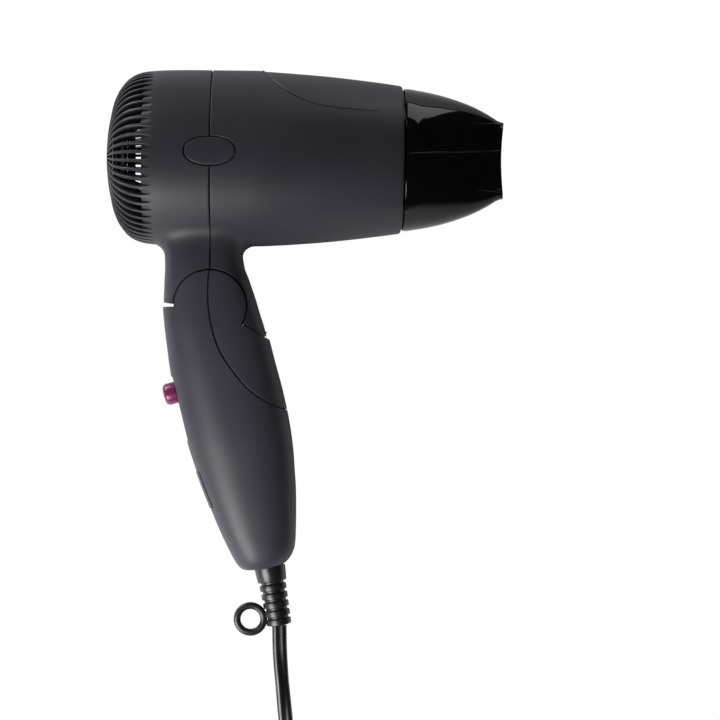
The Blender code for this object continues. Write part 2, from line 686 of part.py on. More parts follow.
def nozzle():
    """The concentrator nozzle: round at the barrel, a flat slot at the mouth, and its spigot."""
    bm = bmesh.new()
    rings = []
    for x, height, width, power in NOZZLE_SECTIONS:
        rings.append([(x, u, v) for u, v in superellipse(height, width, power, NOZZLE_POINTS)])
    add_loft(bm, rings)
    body = settle("concentrator_nozzle", bm, "nozzle", "gloss_black")
    spigot = [(SPIGOT_REAR, 0.0), (SPIGOT_REAR, SPIGOT_RADIUS), (82.0, SPIGOT_RADIUS), (82.0, 0.0)]
    unite(body, turned("spigot_guide", spigot, "nozzle", None, steps=NOZZLE_POINTS))
    bm = bmesh.new()
    rings = [[(SPIGOT_REAR - 2, u, v) for u, v in superellipse(26.6, 26.6, 2.0, NOZZLE_POINTS)],
             [(81.5, u, v) for u, v in superellipse(26.6, 26.6, 2.0, NOZZLE_POINTS)]]
    for x, height, width, power in NOZZLE_SECTIONS[2:]:
        ring = superellipse(height - NOZZLE_WALL, width - NOZZLE_WALL, power, NOZZLE_POINTS)
        end = x + 3.0 if x == NOZZLE_MOUTH else x
        rings.append([(end, u, v) for u, v in ring])
    add_loft(bm, rings)
    subtract(body, settle("nozzle_bore_cutter", bm, "nozzle", None))


def barrel_leads():
    """The leads from the neck to the motor and the element."""
    route = [(-6.0, -56.0, 0.0), (-8.0, -50.5, 5.2), (-4.0, -43.0, 6.5), (5.0, -39.0, 6.5),
             (12.2, -35.0, 5.0), (16.5, -30.0, 3.0), (20.8, -22.0, 1.5), (22.6, -14.0, 1.5)]
    tube("barrel_leads", route, 1.1, "barrel", "black_rubber", spacing=5.0, resolution=1)


# ------------------------------------------------------------------ handle

def neck_half(x, y):
    """Half the neck's thickness at a point of its side."""
    for above, below in zip(NECK_SECTIONS, NECK_SECTIONS[1:]):
        if above[0] >= y >= below[0]:
            share = (above[0] - y) / (above[0] - below[0])
            rear, front, half, power = (a + (b - a) * share for a, b in zip(above[1:], below[1:]))
            across = abs(x - (rear + front) / 2) / ((front - rear) / 2)
            return half * max(0.0, 1.0 - across ** power) ** (1.0 / power)
    return 0.0


def lip_path_cutter():
    """The room in which the neck's lip moves inside the handle as it folds."""
    along = Vector((cos(radians(STOP_NECK)), sin(radians(STOP_NECK))))
    edge = TONGUE_RADIUS
    upper = []
    while True:
        x, y = Vector(HINGE) + along * edge
        half = neck_half(x, y)
        if half < LIP_EDGE_HALF:
            break
        upper.append((edge, min(half, LIP_HALF) + LIP_ROOM))
        edge += 0.8
    upper.append((edge + LIP_ROOM, LIP_EDGE_HALF))
    outline = upper + [(radius, -half) for radius, half in reversed(upper)]
    rings = []
    turns = 16
    for i in range(turns + 1):
        angle = radians(LIP_PATH_END + (STOP_NECK - LIP_PATH_END) * i / turns)
        rings.append([(HINGE[0] + radius * cos(angle), HINGE[1] + radius * sin(angle), half)
                      for radius, half in outline])
    bm = bmesh.new()
    add_loft(bm, rings)
    return settle("lip_path_cutter", bm, "handle", None)


def handle():
    """The rear shell and the front cover of the handle, split along the curved seam."""
    trim = prism("handle_trim_cutter", sector(KNUCKLE_RADIUS, 75.0, STOP_COVER, REAR_HANDLE),
                 -40.0, 40.0, "handle", None)
    hollow = bmesh.new()
    inner = HANDLE_SECTIONS[:-2:2] + [(-168.2, 13.0, 32.6, 11.8, 2.3)]
    add_loft(hollow, level_rings(inner, HANDLE_WALL))
    hollow = settle("handle_hollow_cutter", hollow, "handle", None)
    subtract(hollow, hinge_cylinders("cheek_guide", KNUCKLE_RADIUS + 0.6, CHEEK_HALF, 30.0, "handle"))
    recess = [(-60.0, -92.4), (-15.45, -92.4), (-8.75, -117.9), (-9.7, -119.2), (-60.0, -119.2)]
    recess = prism("switch_recess_cutter", recess, -40.0, 40.0, "handle", None)
    slot_end = SWITCH_TRAVEL + STEM_LENGTH / 2 + 0.5
    slot = prism("switch_slot_cutter", rectangle(-STEM_LENGTH / 2 - 0.5, -STEM_WIDTH / 2 - 0.5,
                                                 slot_end, STEM_WIDTH / 2 + 0.5),
                 -5.0, 5.0, "handle", None, place=switch_frame())
    core = prism("tongue_clearance_cutter", circle(POCKET_RADIUS, 40, HINGE), -CHEEK_HALF, CHEEK_HALF,
                 "handle", None)
    lip_path = lip_path_cutter()
    pin_hole = prism("knuckle_hole_cutter", circle(PIN_RADIUS + GAP, 20, HINGE), -PIN_TIP - GAP,
                     PIN_TIP + GAP, "handle", None)
    cord_hole = turned("cord_hole_cutter", [(-12.0, 0.0), (-12.0, 5.3), (4.0, 5.3), (4.0, 0.0)], "handle",
                       None, place=boot_frame(), steps=20)
    behind = [(x - 0.15, y) for x, y in HANDLE_SEAM] + [(60.0, -40.0)]
    front_side = prism("front_side_cutter", behind, -40.0, 40.0, "handle", None)
    ahead = [(x + 0.15, y) for x, y in HANDLE_SEAM] + [(60.0, -200.0), (-60.0, -200.0), (-60.0, -40.0)]
    rear_side = prism("rear_side_cutter", ahead, -40.0, 40.0, "handle", None)
    for name, other in (("handle_rear_shell", front_side), ("handle_front_cover", rear_side)):
        bm = bmesh.new()
        add_loft(bm, level_rings(HANDLE_SECTIONS, 0.0))
        shell = settle(name, bm, "handle", "soft_touch_charcoal")
        for cutter in (trim, hollow, core, lip_path, pin_hole, other):
            subtract(shell, cutter)
        if name == "handle_rear_shell":
            for cutter in (recess, slot, cord_hole):
                subtract(shell, cutter)


def switch_frame():
    """At the knob, with X down the handle and Z out of its rear face."""
    down = Vector((sin(SWITCH_SLOPE), -cos(SWITCH_SLOPE), 0.0))
    out = Vector((-cos(SWITCH_SLOPE), -sin(SWITCH_SLOPE), 0.0))
    side = out.cross(down)
    turn = Matrix((down, side, out)).transposed().to_4x4()
    return Matrix.Translation((SWITCH_POINT[0], SWITCH_POINT[1], 0.0)) @ turn


def boot_frame():
    """At the handle's end, with Z along the strain relief, away from the handle."""
    return facing((BOOT_POINT[0], BOOT_POINT[1], 0.0), (sin(BOOT_LEAN), -cos(BOOT_LEAN), 0.0))


def hinge_pins():
    """The two pins in the knuckle, with their heads inside the tongue."""
    inner = TONGUE_HALF - TONGUE_WALL - GAP
    for name, sign in (("hinge_pin_left", 1), ("hinge_pin_right", -1)):
        profile = [(inner - 1.4, 0.0), (inner - 1.4, 4.4), (inner, 4.4), (inner, PIN_RADIUS),
                   (PIN_TIP, PIN_RADIUS), (PIN_TIP, 0.0)]
        place = facing((*HINGE, 0.0), (0, 0, sign), (0, 1, 0))
        turned(name, profile, "handle", "steel", place=place, steps=20)


def switch():
    """The sliding switch: the button, its slider, and the contact block with its screws."""
    top = KNOB_HEIGHT
    button = [(GAP, 0.0), (GAP, KNOB_RADIUS), (top - 0.9, KNOB_RADIUS), (top - 0.2, KNOB_RADIUS - 0.7),
              (top, KNOB_RADIUS - 2.2), (top + 0.1, 0.0)]
    knob = turned("switch_knob", button, "switch", "magenta_pearl", place=switch_frame(), steps=28)
    stem = prism("stem_guide", rectangle(-STEM_LENGTH / 2, -STEM_WIDTH / 2, STEM_LENGTH / 2, STEM_WIDTH / 2),
                 -3.2, 1.0, "switch", None, place=switch_frame())
    unite(knob, stem)
    prism("switch_slider", rectangle(-4.0, -4.0, 4.0, 4.0), -5.0, -3.5, "switch", "black_nylon",
          place=switch_frame())
    prism("switch_body", rectangle(-4.2, -6.0, 20.0, 6.0), -13.5, -5.4, "handle", "black_nylon",
          place=switch_frame())
    capacitor = rectangle(-6.5, -5.5, 6.5, 5.5)
    prism("capacitor", capacitor, -3.5, 3.5, "handle", "capacitor_yellow",
          place=facing((14.0, -118.0, 0.0), (0.96, 0.28, 0.0)))


def cord_clamp():
    """The bar that holds the cord inside the handle, and its two screws."""
    frame = boot_frame()
    bar = rectangle(2.0, -8.0, 5.0, 8.0)
    clamp = prism("cord_clamp", bar, -18.5, -13.0, "handle", "black_nylon", place=frame)
    across = frame.to_3x3() @ Vector((1, 0, 0))
    holes = bmesh.new()
    for name, side in (("clamp_screw_left", 5.4), ("clamp_screw_right", -5.4)):
        tip = frame @ Vector((-5.0, side, -15.75))
        add_turned(holes, screw_profile(1.4, 1.4, 8.0, 4.0), facing(tip, across), 12)
        screw(name, tip, across, 10.3, "handle", shank=1.1, head=2.0, head_length=1.0)
    subtract(clamp, settle("clamp_hole_cutter", holes, "handle", None))


def handle_leads():
    """The leads inside the handle: mains to the switch, and switch to the hinge."""
    low = [(23.4, -163.5, 0.0), (22.0, -150.0, 0.0), (18.0, -138.0, 0.0), (10.0, -128.0, 0.0),
           (4.5, -120.5, 0.0)]
    tube("mains_leads", low, 1.1, "handle", "black_rubber", spacing=6.0, resolution=1)
    high = [(-10.2, -90.3, 0.0), (-12.6, -85.0, 0.0), (-12.4, -77.5, 0.0), (-9.5, -70.5, 0.0),
            (-6.5, -66.5, 0.0)]
    tube("switch_leads", high, 1.1, "handle", "black_rubber", spacing=5.0, resolution=1)


def strain_relief():
    """The ribbed boot, with its flange inside the handle."""
    profile = [(-6.6, 0.0), (-6.6, 6.8), (-4.0, 6.8), (-4.0, 5.0), (1.4, 5.0), (1.4, BOOT_COLLAR),
               (6.2, BOOT_COLLAR)]
    pitch = (BOOT_LENGTH - 6.2) / BOOT_RIBS
    for i in range(BOOT_RIBS):
        start = 6.2 + pitch * i
        profile += [(start, BOOT_GROOVE), (start + pitch * 0.32, BOOT_GROOVE),
                    (start + pitch * 0.38, BOOT_RIB), (start + pitch * 0.94, BOOT_RIB)]
    profile += [(BOOT_LENGTH, BOOT_RIB - 0.8), (BOOT_LENGTH, 0.0)]
    turned("strain_relief", profile, "handle", "black_rubber", place=boot_frame(), steps=16)


def hanging_ring():
    """The ring for hanging the dryer up, flat on both sides, against the strain relief."""
    edge = 0.5
    profile = [(-RING_HALF, RING_INNER + edge), (-RING_HALF, RING_OUTER - edge),
               (-RING_HALF + edge, RING_OUTER), (RING_HALF - edge, RING_OUTER),
               (RING_HALF, RING_OUTER - edge), (RING_HALF, RING_INNER + edge),
               (RING_HALF - edge, RING_INNER), (-RING_HALF + edge, RING_INNER)]
    place = facing((*RING_CENTRE, 0.0), (0, 0, 1), (0, 1, 0))
    ring = turned("hanging_ring", profile, "handle", "black_rubber", place=place, steps=28)
    clear = [(6.0, 0.0), (6.0, BOOT_RIB + GAP), (40.0, BOOT_RIB + GAP), (40.0, 0.0)]
    subtract(ring, turned("ring_clearance_cutter", clear, "handle", None, place=boot_frame(), steps=20))


# ------------------------------------------------------------------ cord, coil, tie and plug

def cord():
    tube("mains_cord", CORD_ROUTE, CORD_RADIUS, "handle", "black_rubber", frame=GROUND, spacing=8.0)
    tube("plug_cord", TAIL_ROUTE, CORD_RADIUS, "handle", "black_rubber", frame=GROUND, spacing=8.0)
    edge = 1.5
    profile = [(COIL_LOW, COIL_INNER + edge), (COIL_LOW, COIL_OUTER - edge), (COIL_LOW + edge, COIL_OUTER),
               (COIL_HIGH - edge, COIL_OUTER), (COIL_HIGH, COIL_OUTER - edge), (COIL_HIGH, COIL_INNER + edge),
               (COIL_HIGH - edge, COIL_INNER), (COIL_LOW + edge, COIL_INNER)]
    place = facing((*COIL_CENTRE, 0.0), (0, 0, 1), (0, 1, 0))
    turned("cord_coil", profile, "handle", "black_rubber", place=place, steps=32, frame=GROUND)


def cord_tie():
    """The band around the coil."""
    inside = (COIL_INNER - GAP - 0.2, COIL_LOW - GAP, COIL_OUTER + GAP, COIL_HIGH + GAP)
    outside = (inside[0] - TIE_THICKNESS, inside[1] - TIE_THICKNESS, inside[2] + TIE_THICKNESS,
               inside[3] + TIE_THICKNESS)
    radial = Vector((cos(TIE_ANGLE), sin(TIE_ANGLE), 0.0))
    along = Vector((sin(TIE_ANGLE), -cos(TIE_ANGLE), 0.0))
    turn = Matrix((radial, (0, 0, 1), along)).transposed().to_4x4()
    place = Matrix.Translation((*COIL_CENTRE, 0.0)) @ turn
    half = TIE_WIDTH / 2
    tie = prism("cord_tie", rectangle(*outside), -half, half, "handle", "black_nylon",
                place=place, frame=GROUND)
    window = prism("tie_window_cutter", rectangle(*inside), -half - 1, half + 1, "handle", None,
                   place=place, frame=GROUND)
    subtract(tie, window)


def plug_frame():
    """At the plug's cord end, with Z along the plug, X across it and Y up."""
    ahead = Vector((cos(PLUG_HEADING), sin(PLUG_HEADING), 0.0))
    return facing(PLUG_POINT, ahead, (0, 0, 1))


def plug():
    """A moulded two-pin plug without an earth."""
    frame = plug_frame()
    rings = []
    for along, wide, high, power in PLUG_SECTIONS:
        rings.append([frame @ Vector((u, v, along)) for u, v in superellipse(wide, high, power, 28)])
    bm = bmesh.new()
    add_loft(bm, rings)
    settle("plug_body", bm, "handle", "black_rubber", GROUND)
    face = PLUG_SECTIONS[-1][0] + GAP
    for name, side in (("plug_pin_left", 1), ("plug_pin_right", -1)):
        place = frame @ Matrix.Translation((side * PLUG_PIN_SPACING, 0.0, face))
        tip = PLUG_PIN_LENGTH
        profile = [(0.0, 0.0), (0.0, PLUG_PIN_RADIUS), (tip - 1.5, PLUG_PIN_RADIUS), (tip - 0.4, 1.6),
                   (tip, 0.0)]
        turned(name, profile, "handle", "brass", place=place, steps=16, frame=GROUND)


shells()
side_caps()
screw("neck_screw", (5.0, -46.2, 0.0), (-1.0, 0.0, 0.0), 14.5, "barrel")
intake_filter()
fan_duct()
motor()
impeller()
heater()
outlet_grille()
barrel_leads()
nozzle()
handle()
hinge_pins()
switch()
cord_clamp()
handle_leads()
strain_relief()
hanging_ring()
cord()
cord_tie()
plug()
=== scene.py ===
"""Looks of the folding travel hair dryer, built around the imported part.

Shapes are drawn in millimetres in a drawing frame: X runs along the barrel towards the nozzle, Y
runs from the handle up to the barrel, Z runs across, and the barrel's axis is y = z = 0.  DRAWING
takes that frame to the part's own.  GROUND is the same without the tilt, with Z = 0 on the ground.
"""

import json
from math import cos, hypot, pi, radians, sin, sqrt

import bmesh
import bpy
import numpy as np
from mathutils import Matrix, Vector


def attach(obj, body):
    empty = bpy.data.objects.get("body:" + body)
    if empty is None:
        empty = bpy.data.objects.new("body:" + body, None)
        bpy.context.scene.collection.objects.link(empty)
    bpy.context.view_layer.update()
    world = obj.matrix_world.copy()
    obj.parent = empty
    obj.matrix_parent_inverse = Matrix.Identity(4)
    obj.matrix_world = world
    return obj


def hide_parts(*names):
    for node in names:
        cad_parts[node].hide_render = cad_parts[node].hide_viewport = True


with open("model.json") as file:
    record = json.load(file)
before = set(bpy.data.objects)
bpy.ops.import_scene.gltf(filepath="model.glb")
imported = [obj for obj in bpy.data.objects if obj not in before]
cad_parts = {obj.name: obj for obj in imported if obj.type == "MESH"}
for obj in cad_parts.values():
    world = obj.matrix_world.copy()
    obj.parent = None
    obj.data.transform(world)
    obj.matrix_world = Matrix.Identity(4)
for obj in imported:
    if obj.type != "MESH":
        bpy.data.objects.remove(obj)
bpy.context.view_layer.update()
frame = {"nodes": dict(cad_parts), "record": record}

MM = 0.001
TILT = radians(8.0)
BARREL_RADIUS = 36.77
CENTRE = (38.25, -80.86)
HINGE = (0.0, -62.5)

GROUND = Matrix.Scale(MM, 4) @ Matrix.Translation((-CENTRE[0], -CENTRE[1], 0.0))
DRAWING = GROUND @ Matrix.Translation((0.0, 0.0, BARREL_RADIUS)) @ Matrix.Rotation(TILT, 4, 'X')


# ------------------------------------------------------------------ camera

def make_camera():
    """A camera straight over the dryer's side; its distance is a guess."""
    distance, seen_width, sensor, roll = 950.0, 302.4, 36.0, 0.0094
    data = bpy.data.cameras.new("camera")
    data.sensor_width = sensor
    data.lens = sensor * distance / seen_width
    data.shift_x = 0.0917
    camera = bpy.data.objects.new("camera", data)
    bpy.context.scene.collection.objects.link(camera)
    place = DRAWING @ Vector((35.0, -84.3, distance))
    turn = Matrix.Rotation(TILT, 4, 'X') @ Matrix.Rotation(roll, 4, 'Z')
    camera.matrix_world = Matrix.Translation(place) @ turn
    data.clip_start, data.clip_end = 0.01, 50.0
    bpy.context.scene.camera = camera


make_camera()


# ------------------------------------------------------------------ curves and outlines

def steps_of(low, high, size):
    """Evenly spaced numbers from low to high, about size apart."""
    return np.linspace(low, high, max(2, int(round(abs(high - low) / size)) + 1)).tolist()


def eased(xs, ys, x):
    """Monotone cubic through the points (xs, ys), read at x."""
    xs, ys = np.asarray(xs, float), np.asarray(ys, float)
    h = np.diff(xs)
    d = np.diff(ys) / h
    m = np.zeros(len(xs))
    m[0], m[-1] = d[0], d[-1]
    for i in range(1, len(xs) - 1):
        if d[i - 1] * d[i] > 0:
            a, b = 2 * h[i] + h[i - 1], h[i] + 2 * h[i - 1]
            m[i] = (a + b) / (a / d[i - 1] + b / d[i])
    x = np.clip(x, xs[0], xs[-1])
    i = np.clip(np.searchsorted(xs, x, side='right') - 1, 0, len(xs) - 2)
    t = (x - xs[i]) / h[i]
    return (ys[i] * (1 + 2 * t) * (1 - t) ** 2 + h[i] * m[i] * t * (1 - t) ** 2
            + ys[i + 1] * t * t * (3 - 2 * t) + h[i] * m[i + 1] * t * t * (t - 1))


def distances(line):
    """How far along a line each of its points is."""
    steps = np.linalg.norm(np.diff(line, axis=0), axis=1)
    return np.concatenate([[0.0], np.cumsum(steps)])


def runs(line, closed=False):
    """The way a line runs at each of its points."""
    line = np.asarray(line, float)
    if closed:
        return np.roll(line, -1, axis=0) - np.roll(line, 1, axis=0)
    ahead = np.vstack([line[1:], 2 * line[-1] - line[-2]])
    behind = np.vstack([2 * line[0] - line[1], line[:-1]])
    return ahead - behind


def through(points, size):
    """A smooth open line through the points, with a point about every size."""
    p = np.asarray(points, float)
    p = np.vstack([2 * p[0] - p[1], p, 2 * p[-1] - p[-2]])
    made = []
    for i in range(1, len(p) - 2):
        a, b, c, d = p[i - 1], p[i], p[i + 1], p[i + 2]
        t1 = max(np.linalg.norm(b - a), 1e-9) ** 0.5
        t2 = t1 + max(np.linalg.norm(c - b), 1e-9) ** 0.5
        t3 = t2 + max(np.linalg.norm(d - c), 1e-9) ** 0.5
        for t in np.linspace(t1, t2, 12, endpoint=False):
            ab = (t1 - t) / t1 * a + t / t1 * b
            bc = (t2 - t) / (t2 - t1) * b + (t - t1) / (t2 - t1) * c
            cd = (t3 - t) / (t3 - t2) * c + (t - t2) / (t3 - t2) * d
            abc = (t2 - t) / t2 * ab + t / t2 * bc
            bcd = (t3 - t) / (t3 - t1) * bc + (t - t1) / (t3 - t1) * cd
            made.append((t2 - t) / (t2 - t1) * abc + (t - t1) / (t2 - t1) * bcd)
    made.append(p[-2])
    made = np.array(made)
    along = distances(made)
    wanted = steps_of(0.0, along[-1], size)
    return np.stack([np.interp(wanted, along, made[:, k]) for k in range(made.shape[1])], axis=1)


def rectangle(low_x, low_y, high_x, high_y):
    return [(low_x, low_y), (high_x, low_y), (high_x, high_y), (low_x, high_y)]


def circle_point(radius, turn, centre=(0.0, 0.0)):
    return centre[0] + radius * cos(turn), centre[1] + radius * sin(turn)


def circle(radius, count, centre=(0.0, 0.0)):
    return [circle_point(radius, 2 * pi * i / count, centre) for i in range(count)]


def arc(radius, start, end, count, centre=(0.0, 0.0)):
    """An open arc between two angles in degrees."""
    turns = [radians(start + (end - start) * i / count) for i in range(count + 1)]
    return [circle_point(radius, turn, centre) for turn in turns]


def sector(inner, outer, start, end, count=96):
    """A slice of a ring about the hinge, between two angles in degrees."""
    return arc(inner, start, end, count, HINGE) + arc(outer, end, start, count // 3, HINGE)


def superellipse(half_a, half_b, power, count):
    """Points of a rounded box section about its middle, spread evenly along it."""
    a = np.linspace(0, 2 * pi, 721)
    u = half_a * np.sign(np.cos(a)) * np.abs(np.cos(a)) ** (2 / power)
    v = half_b * np.sign(np.sin(a)) * np.abs(np.sin(a)) ** (2 / power)
    along = np.concatenate([[0.0], np.cumsum(np.hypot(np.diff(u), np.diff(v)))])
    wanted = np.linspace(0, along[-1], count, endpoint=False)
    return list(zip(np.interp(wanted, along, u), np.interp(wanted, along, v)))


def rounded(outline, radius, count=5):
    """A closed outline with its corners rounded."""
    made = []
    size = len(outline)
    for i in range(size):
        p = Vector(outline[i])
        a, b = Vector(outline[i - 1]) - p, Vector(outline[(i + 1) % size]) - p
        reach = min(radius, a.length / 2.01, b.length / 2.01)
        a, b = a.normalized() * reach, b.normalized() * reach
        for k in range(count + 1):
            t = k / count
            made.append(tuple(p + a * (1 - t) ** 2 + b * t * t))
    return made


# ------------------------------------------------------------------ meshes

def turned_part(profile, steps, place=None):
    """A closed profile of (along, radius), spun about X, or about the Z of place."""
    bm = bmesh.new()
    rows = []
    for along, radius in profile:
        if radius < 1e-6:
            rows.append([bm.verts.new((0.0, 0.0, along))] * steps)
        else:
            rows.append([bm.verts.new((u, v, along)) for u, v in circle(radius, steps)])
    count = len(rows)
    for i in range(count):
        low, high = rows[i], rows[(i + 1) % count]
        for k in range(steps):
            j = (k + 1) % steps
            corners = []
            for vert in (low[k], low[j], high[j], high[k]):
                if vert not in corners:
                    corners.append(vert)
            if len(corners) > 2:
                bm.faces.new(corners)
    place = place or facing((0.0, 0.0, 0.0), (1.0, 0.0, 0.0))
    bmesh.ops.transform(bm, matrix=place, verts=bm.verts)
    return bm


def prism_part(outline, low, high, place=None):
    bm = bmesh.new()
    below = [bm.verts.new((x, y, low)) for x, y in outline]
    above = [bm.verts.new((x, y, high)) for x, y in outline]
    count = len(outline)
    for i in range(count):
        j = (i + 1) % count
        bm.faces.new((below[i], below[j], above[j], above[i]))
    bm.faces.new(list(reversed(below)))
    bm.faces.new(above)
    if place:
        bmesh.ops.transform(bm, matrix=place, verts=bm.verts)
    return bm


def loft_part(rings, closed=False):
    """A skin through rings of points, with flat ends unless the rings go round."""
    bm = bmesh.new()
    rows = [[bm.verts.new(point) for point in ring] for ring in rings]
    count = len(rows[0])
    pairs = list(zip(rows, rows[1:])) + ([(rows[-1], rows[0])] if closed else [])
    for low, high in pairs:
        for i in range(count):
            j = (i + 1) % count
            bm.faces.new((low[i], low[j], high[j], high[i]))
    if not closed:
        bm.faces.new(list(reversed(rows[0])))
        bm.faces.new(rows[-1])
    return bm


def sweep_part(path, normals, section, closed=False):
    """A section of (across, out) points carried along a path that has an outward normal."""
    rings = []
    for point, run, normal in zip(path, runs(path, closed), normals):
        tangent, out = Vector(run).normalized(), Vector(normal)
        out = (out - tangent * out.dot(tangent)).normalized()
        across = tangent.cross(out)
        rings.append([Vector(point) + across * u + out * v for u, v in section])
    return loft_part(rings, closed)


def facing(origin, direction, side=(0.0, 0.0, 1.0)):
    """A frame at origin whose Z is direction and whose Y is as near to side as it can be."""
    z = Vector(direction).normalized()
    x = Vector(side).cross(z).normalized()
    y = z.cross(x)
    return Matrix.Translation(origin) @ Matrix((x, y, z)).transposed().to_4x4()


def joined(parts):
    """Several meshes as one."""
    whole = bmesh.new()
    for part in parts:
        held = bpy.data.meshes.new("held")
        part.to_mesh(held)
        part.free()
        whole.from_mesh(held)
        bpy.data.meshes.remove(held)
    return whole


loose = []


def linked(name, mesh):
    """A new piece, loose until settle takes it."""
    piece = bpy.data.objects.new(name, mesh)
    bpy.context.scene.collection.objects.link(piece)
    loose.append(piece)
    return piece


def solid(name, bm):
    """A closed mesh as an object, still in millimetres."""
    bmesh.ops.remove_doubles(bm, verts=bm.verts, dist=1e-4)
    bmesh.ops.recalc_face_normals(bm, faces=bm.faces)
    if bm.calc_volume(signed=True) < 0:
        bmesh.ops.reverse_faces(bm, faces=bm.faces)
    mesh = bpy.data.meshes.new(name)
    bm.to_mesh(mesh)
    bm.free()
    return linked(name, mesh)


def carve(piece, *steps):
    """Booleans on a piece, one after another: (operation, other piece)."""
    for operation, other in steps:
        change = piece.modifiers.new(other.name, 'BOOLEAN')
        change.operation = operation
        change.solver = 'MANIFOLD'
        change.object = other
    bpy.context.view_layer.update()
    seen = piece.evaluated_get(bpy.context.evaluated_depsgraph_get())
    mesh = bpy.data.meshes.new_from_object(seen)
    piece.modifiers.clear()
    old = piece.data
    piece.data = mesh
    bpy.data.meshes.remove(old)


def cut(piece, *others):
    """Take other pieces away from a piece."""
    carve(piece, *[('DIFFERENCE', other) for other in others])


def add(piece, *others):
    """Join other pieces to a piece."""
    carve(piece, *[('UNION', other) for other in others])


def copy_of(name, piece):
    return linked(name, piece.data.copy())


def clear_loose():
    """Delete the pieces that only shaped others."""
    for piece in loose:
        mesh = piece.data
        bpy.data.objects.remove(piece, do_unlink=True)
        bpy.data.meshes.remove(mesh)
    loose.clear()


def settle(piece, body, finish, replaces=(), place=DRAWING, sharp=32.0):
    """Move a finished piece to the part's frame, give it its look and its body."""
    loose.remove(piece)
    mesh = piece.data
    bm = bmesh.new()
    bm.from_mesh(mesh)
    bmesh.ops.remove_doubles(bm, verts=bm.verts, dist=1e-3)
    bmesh.ops.dissolve_degenerate(bm, edges=bm.edges, dist=1e-3)
    bmesh.ops.transform(bm, matrix=place, verts=bm.verts)
    bm.to_mesh(mesh)
    bm.free()
    mesh.shade_smooth()
    mesh.set_sharp_from_angle(angle=radians(sharp))
    mesh.materials.clear()
    mesh.materials.append(finish)
    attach(piece, body)
    if replaces:
        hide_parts(*replaces)


# ------------------------------------------------------------------ materials

def finish_of(name, colour, roughness, metallic=0.0, vary=0.12, patch=60.0, grain=3000.0,
              bump=0.05, rough_vary=0.05, stretch=(1.0, 1.0, 1.0), level=0.5, **extra):
    """A surface with slow changes of colour, fine grain in its gloss, and a fine bump."""
    made = bpy.data.materials.new(name)
    made.use_nodes = True
    tree = made.node_tree
    shader = tree.nodes["Principled BSDF"]
    shader.inputs["Metallic"].default_value = metallic
    shader.inputs["Specular IOR Level"].default_value = level
    for key, value in extra.items():
        shader.inputs[key.replace("_", " ")].default_value = value

    where = tree.nodes.new("ShaderNodeTexCoord")
    scaled = tree.nodes.new("ShaderNodeMapping")
    scaled.inputs["Scale"].default_value = stretch
    tree.links.new(where.outputs["Object"], scaled.inputs["Vector"])

    def noise(scale, detail):
        node = tree.nodes.new("ShaderNodeTexNoise")
        node.inputs["Scale"].default_value = scale
        node.inputs["Detail"].default_value = detail
        tree.links.new(scaled.outputs["Vector"], node.inputs["Vector"])
        return node

    slow, fine = noise(patch, 3.0), noise(grain, 2.0)
    ramp = tree.nodes.new("ShaderNodeValToRGB")
    ramp.color_ramp.elements[0].position = 0.3
    ramp.color_ramp.elements[1].position = 0.7
    ramp.color_ramp.elements[0].color = (*[c * (1 - vary) for c in colour], 1.0)
    ramp.color_ramp.elements[1].color = (*[min(1.0, c * (1 + vary)) for c in colour], 1.0)
    tree.links.new(slow.outputs["Fac"], ramp.inputs["Fac"])
    tree.links.new(ramp.outputs["Color"], shader.inputs["Base Color"])

    mixed = tree.nodes.new("ShaderNodeMath")
    mixed.operation = 'MULTIPLY'
    tree.links.new(slow.outputs["Fac"], mixed.inputs[0])
    tree.links.new(fine.outputs["Fac"], mixed.inputs[1])
    spread = tree.nodes.new("ShaderNodeMapRange")
    spread.inputs["From Min"].default_value = 0.1
    spread.inputs["From Max"].default_value = 0.4
    spread.inputs["To Min"].default_value = max(0.02, roughness - rough_vary)
    spread.inputs["To Max"].default_value = min(1.0, roughness + rough_vary)
    tree.links.new(mixed.outputs[0], spread.inputs["Value"])
    tree.links.new(spread.outputs["Result"], shader.inputs["Roughness"])

    relief = tree.nodes.new("ShaderNodeBump")
    relief.inputs["Strength"].default_value = bump
    relief.inputs["Distance"].default_value = 0.0001
    tree.links.new(fine.outputs["Fac"], relief.inputs["Height"])
    tree.links.new(relief.outputs["Normal"], shader.inputs["Normal"])
    return made


for packed in list(bpy.data.materials):
    bpy.data.materials.remove(packed)

CHARCOAL = finish_of("soft_touch_charcoal", (0.0285, 0.0275, 0.0360), 0.47, vary=0.06, patch=35.0,
                     grain=2600.0, bump=0.10, rough_vary=0.04, level=0.30)
GLOSS = finish_of("gloss_black", (0.0022, 0.0022, 0.0026), 0.07, vary=0.1, grain=900.0, bump=0.008,
                  rough_vary=0.02, level=0.30)
MAGENTA = finish_of("magenta_pearl", (0.165, 0.018, 0.078), 0.30, metallic=0.30, vary=0.10,
                    patch=2500.0, grain=6000.0, bump=0.04, level=0.6)
RUBBER = finish_of("black_rubber", (0.0065, 0.0065, 0.0075), 0.34, vary=0.10, patch=300.0,
                   grain=2200.0, bump=0.08, level=0.45)
CORD_SKIN = finish_of("cord_skin", (0.0050, 0.0050, 0.0060), 0.33, vary=0.10, patch=120.0,
                      grain=1200.0, bump=0.008, level=0.5)
finish_of("black_nylon", (0.010, 0.010, 0.011), 0.5, grain=2500.0, bump=0.12)
finish_of("steel", (0.50, 0.50, 0.52), 0.30, metallic=1.0, vary=0.06, patch=900.0,
          grain=2600.0, stretch=(0.06, 1.0, 1.0), bump=0.05)
finish_of("brass", (0.72, 0.52, 0.26), 0.24, metallic=1.0, vary=0.05, patch=250.0,
          grain=2600.0, stretch=(1.0, 0.1, 1.0), bump=0.03)
finish_of("mica", (0.50, 0.40, 0.27), 0.55, vary=0.25, patch=350.0, grain=1400.0,
          stretch=(0.5, 1.0, 0.5), bump=0.15)
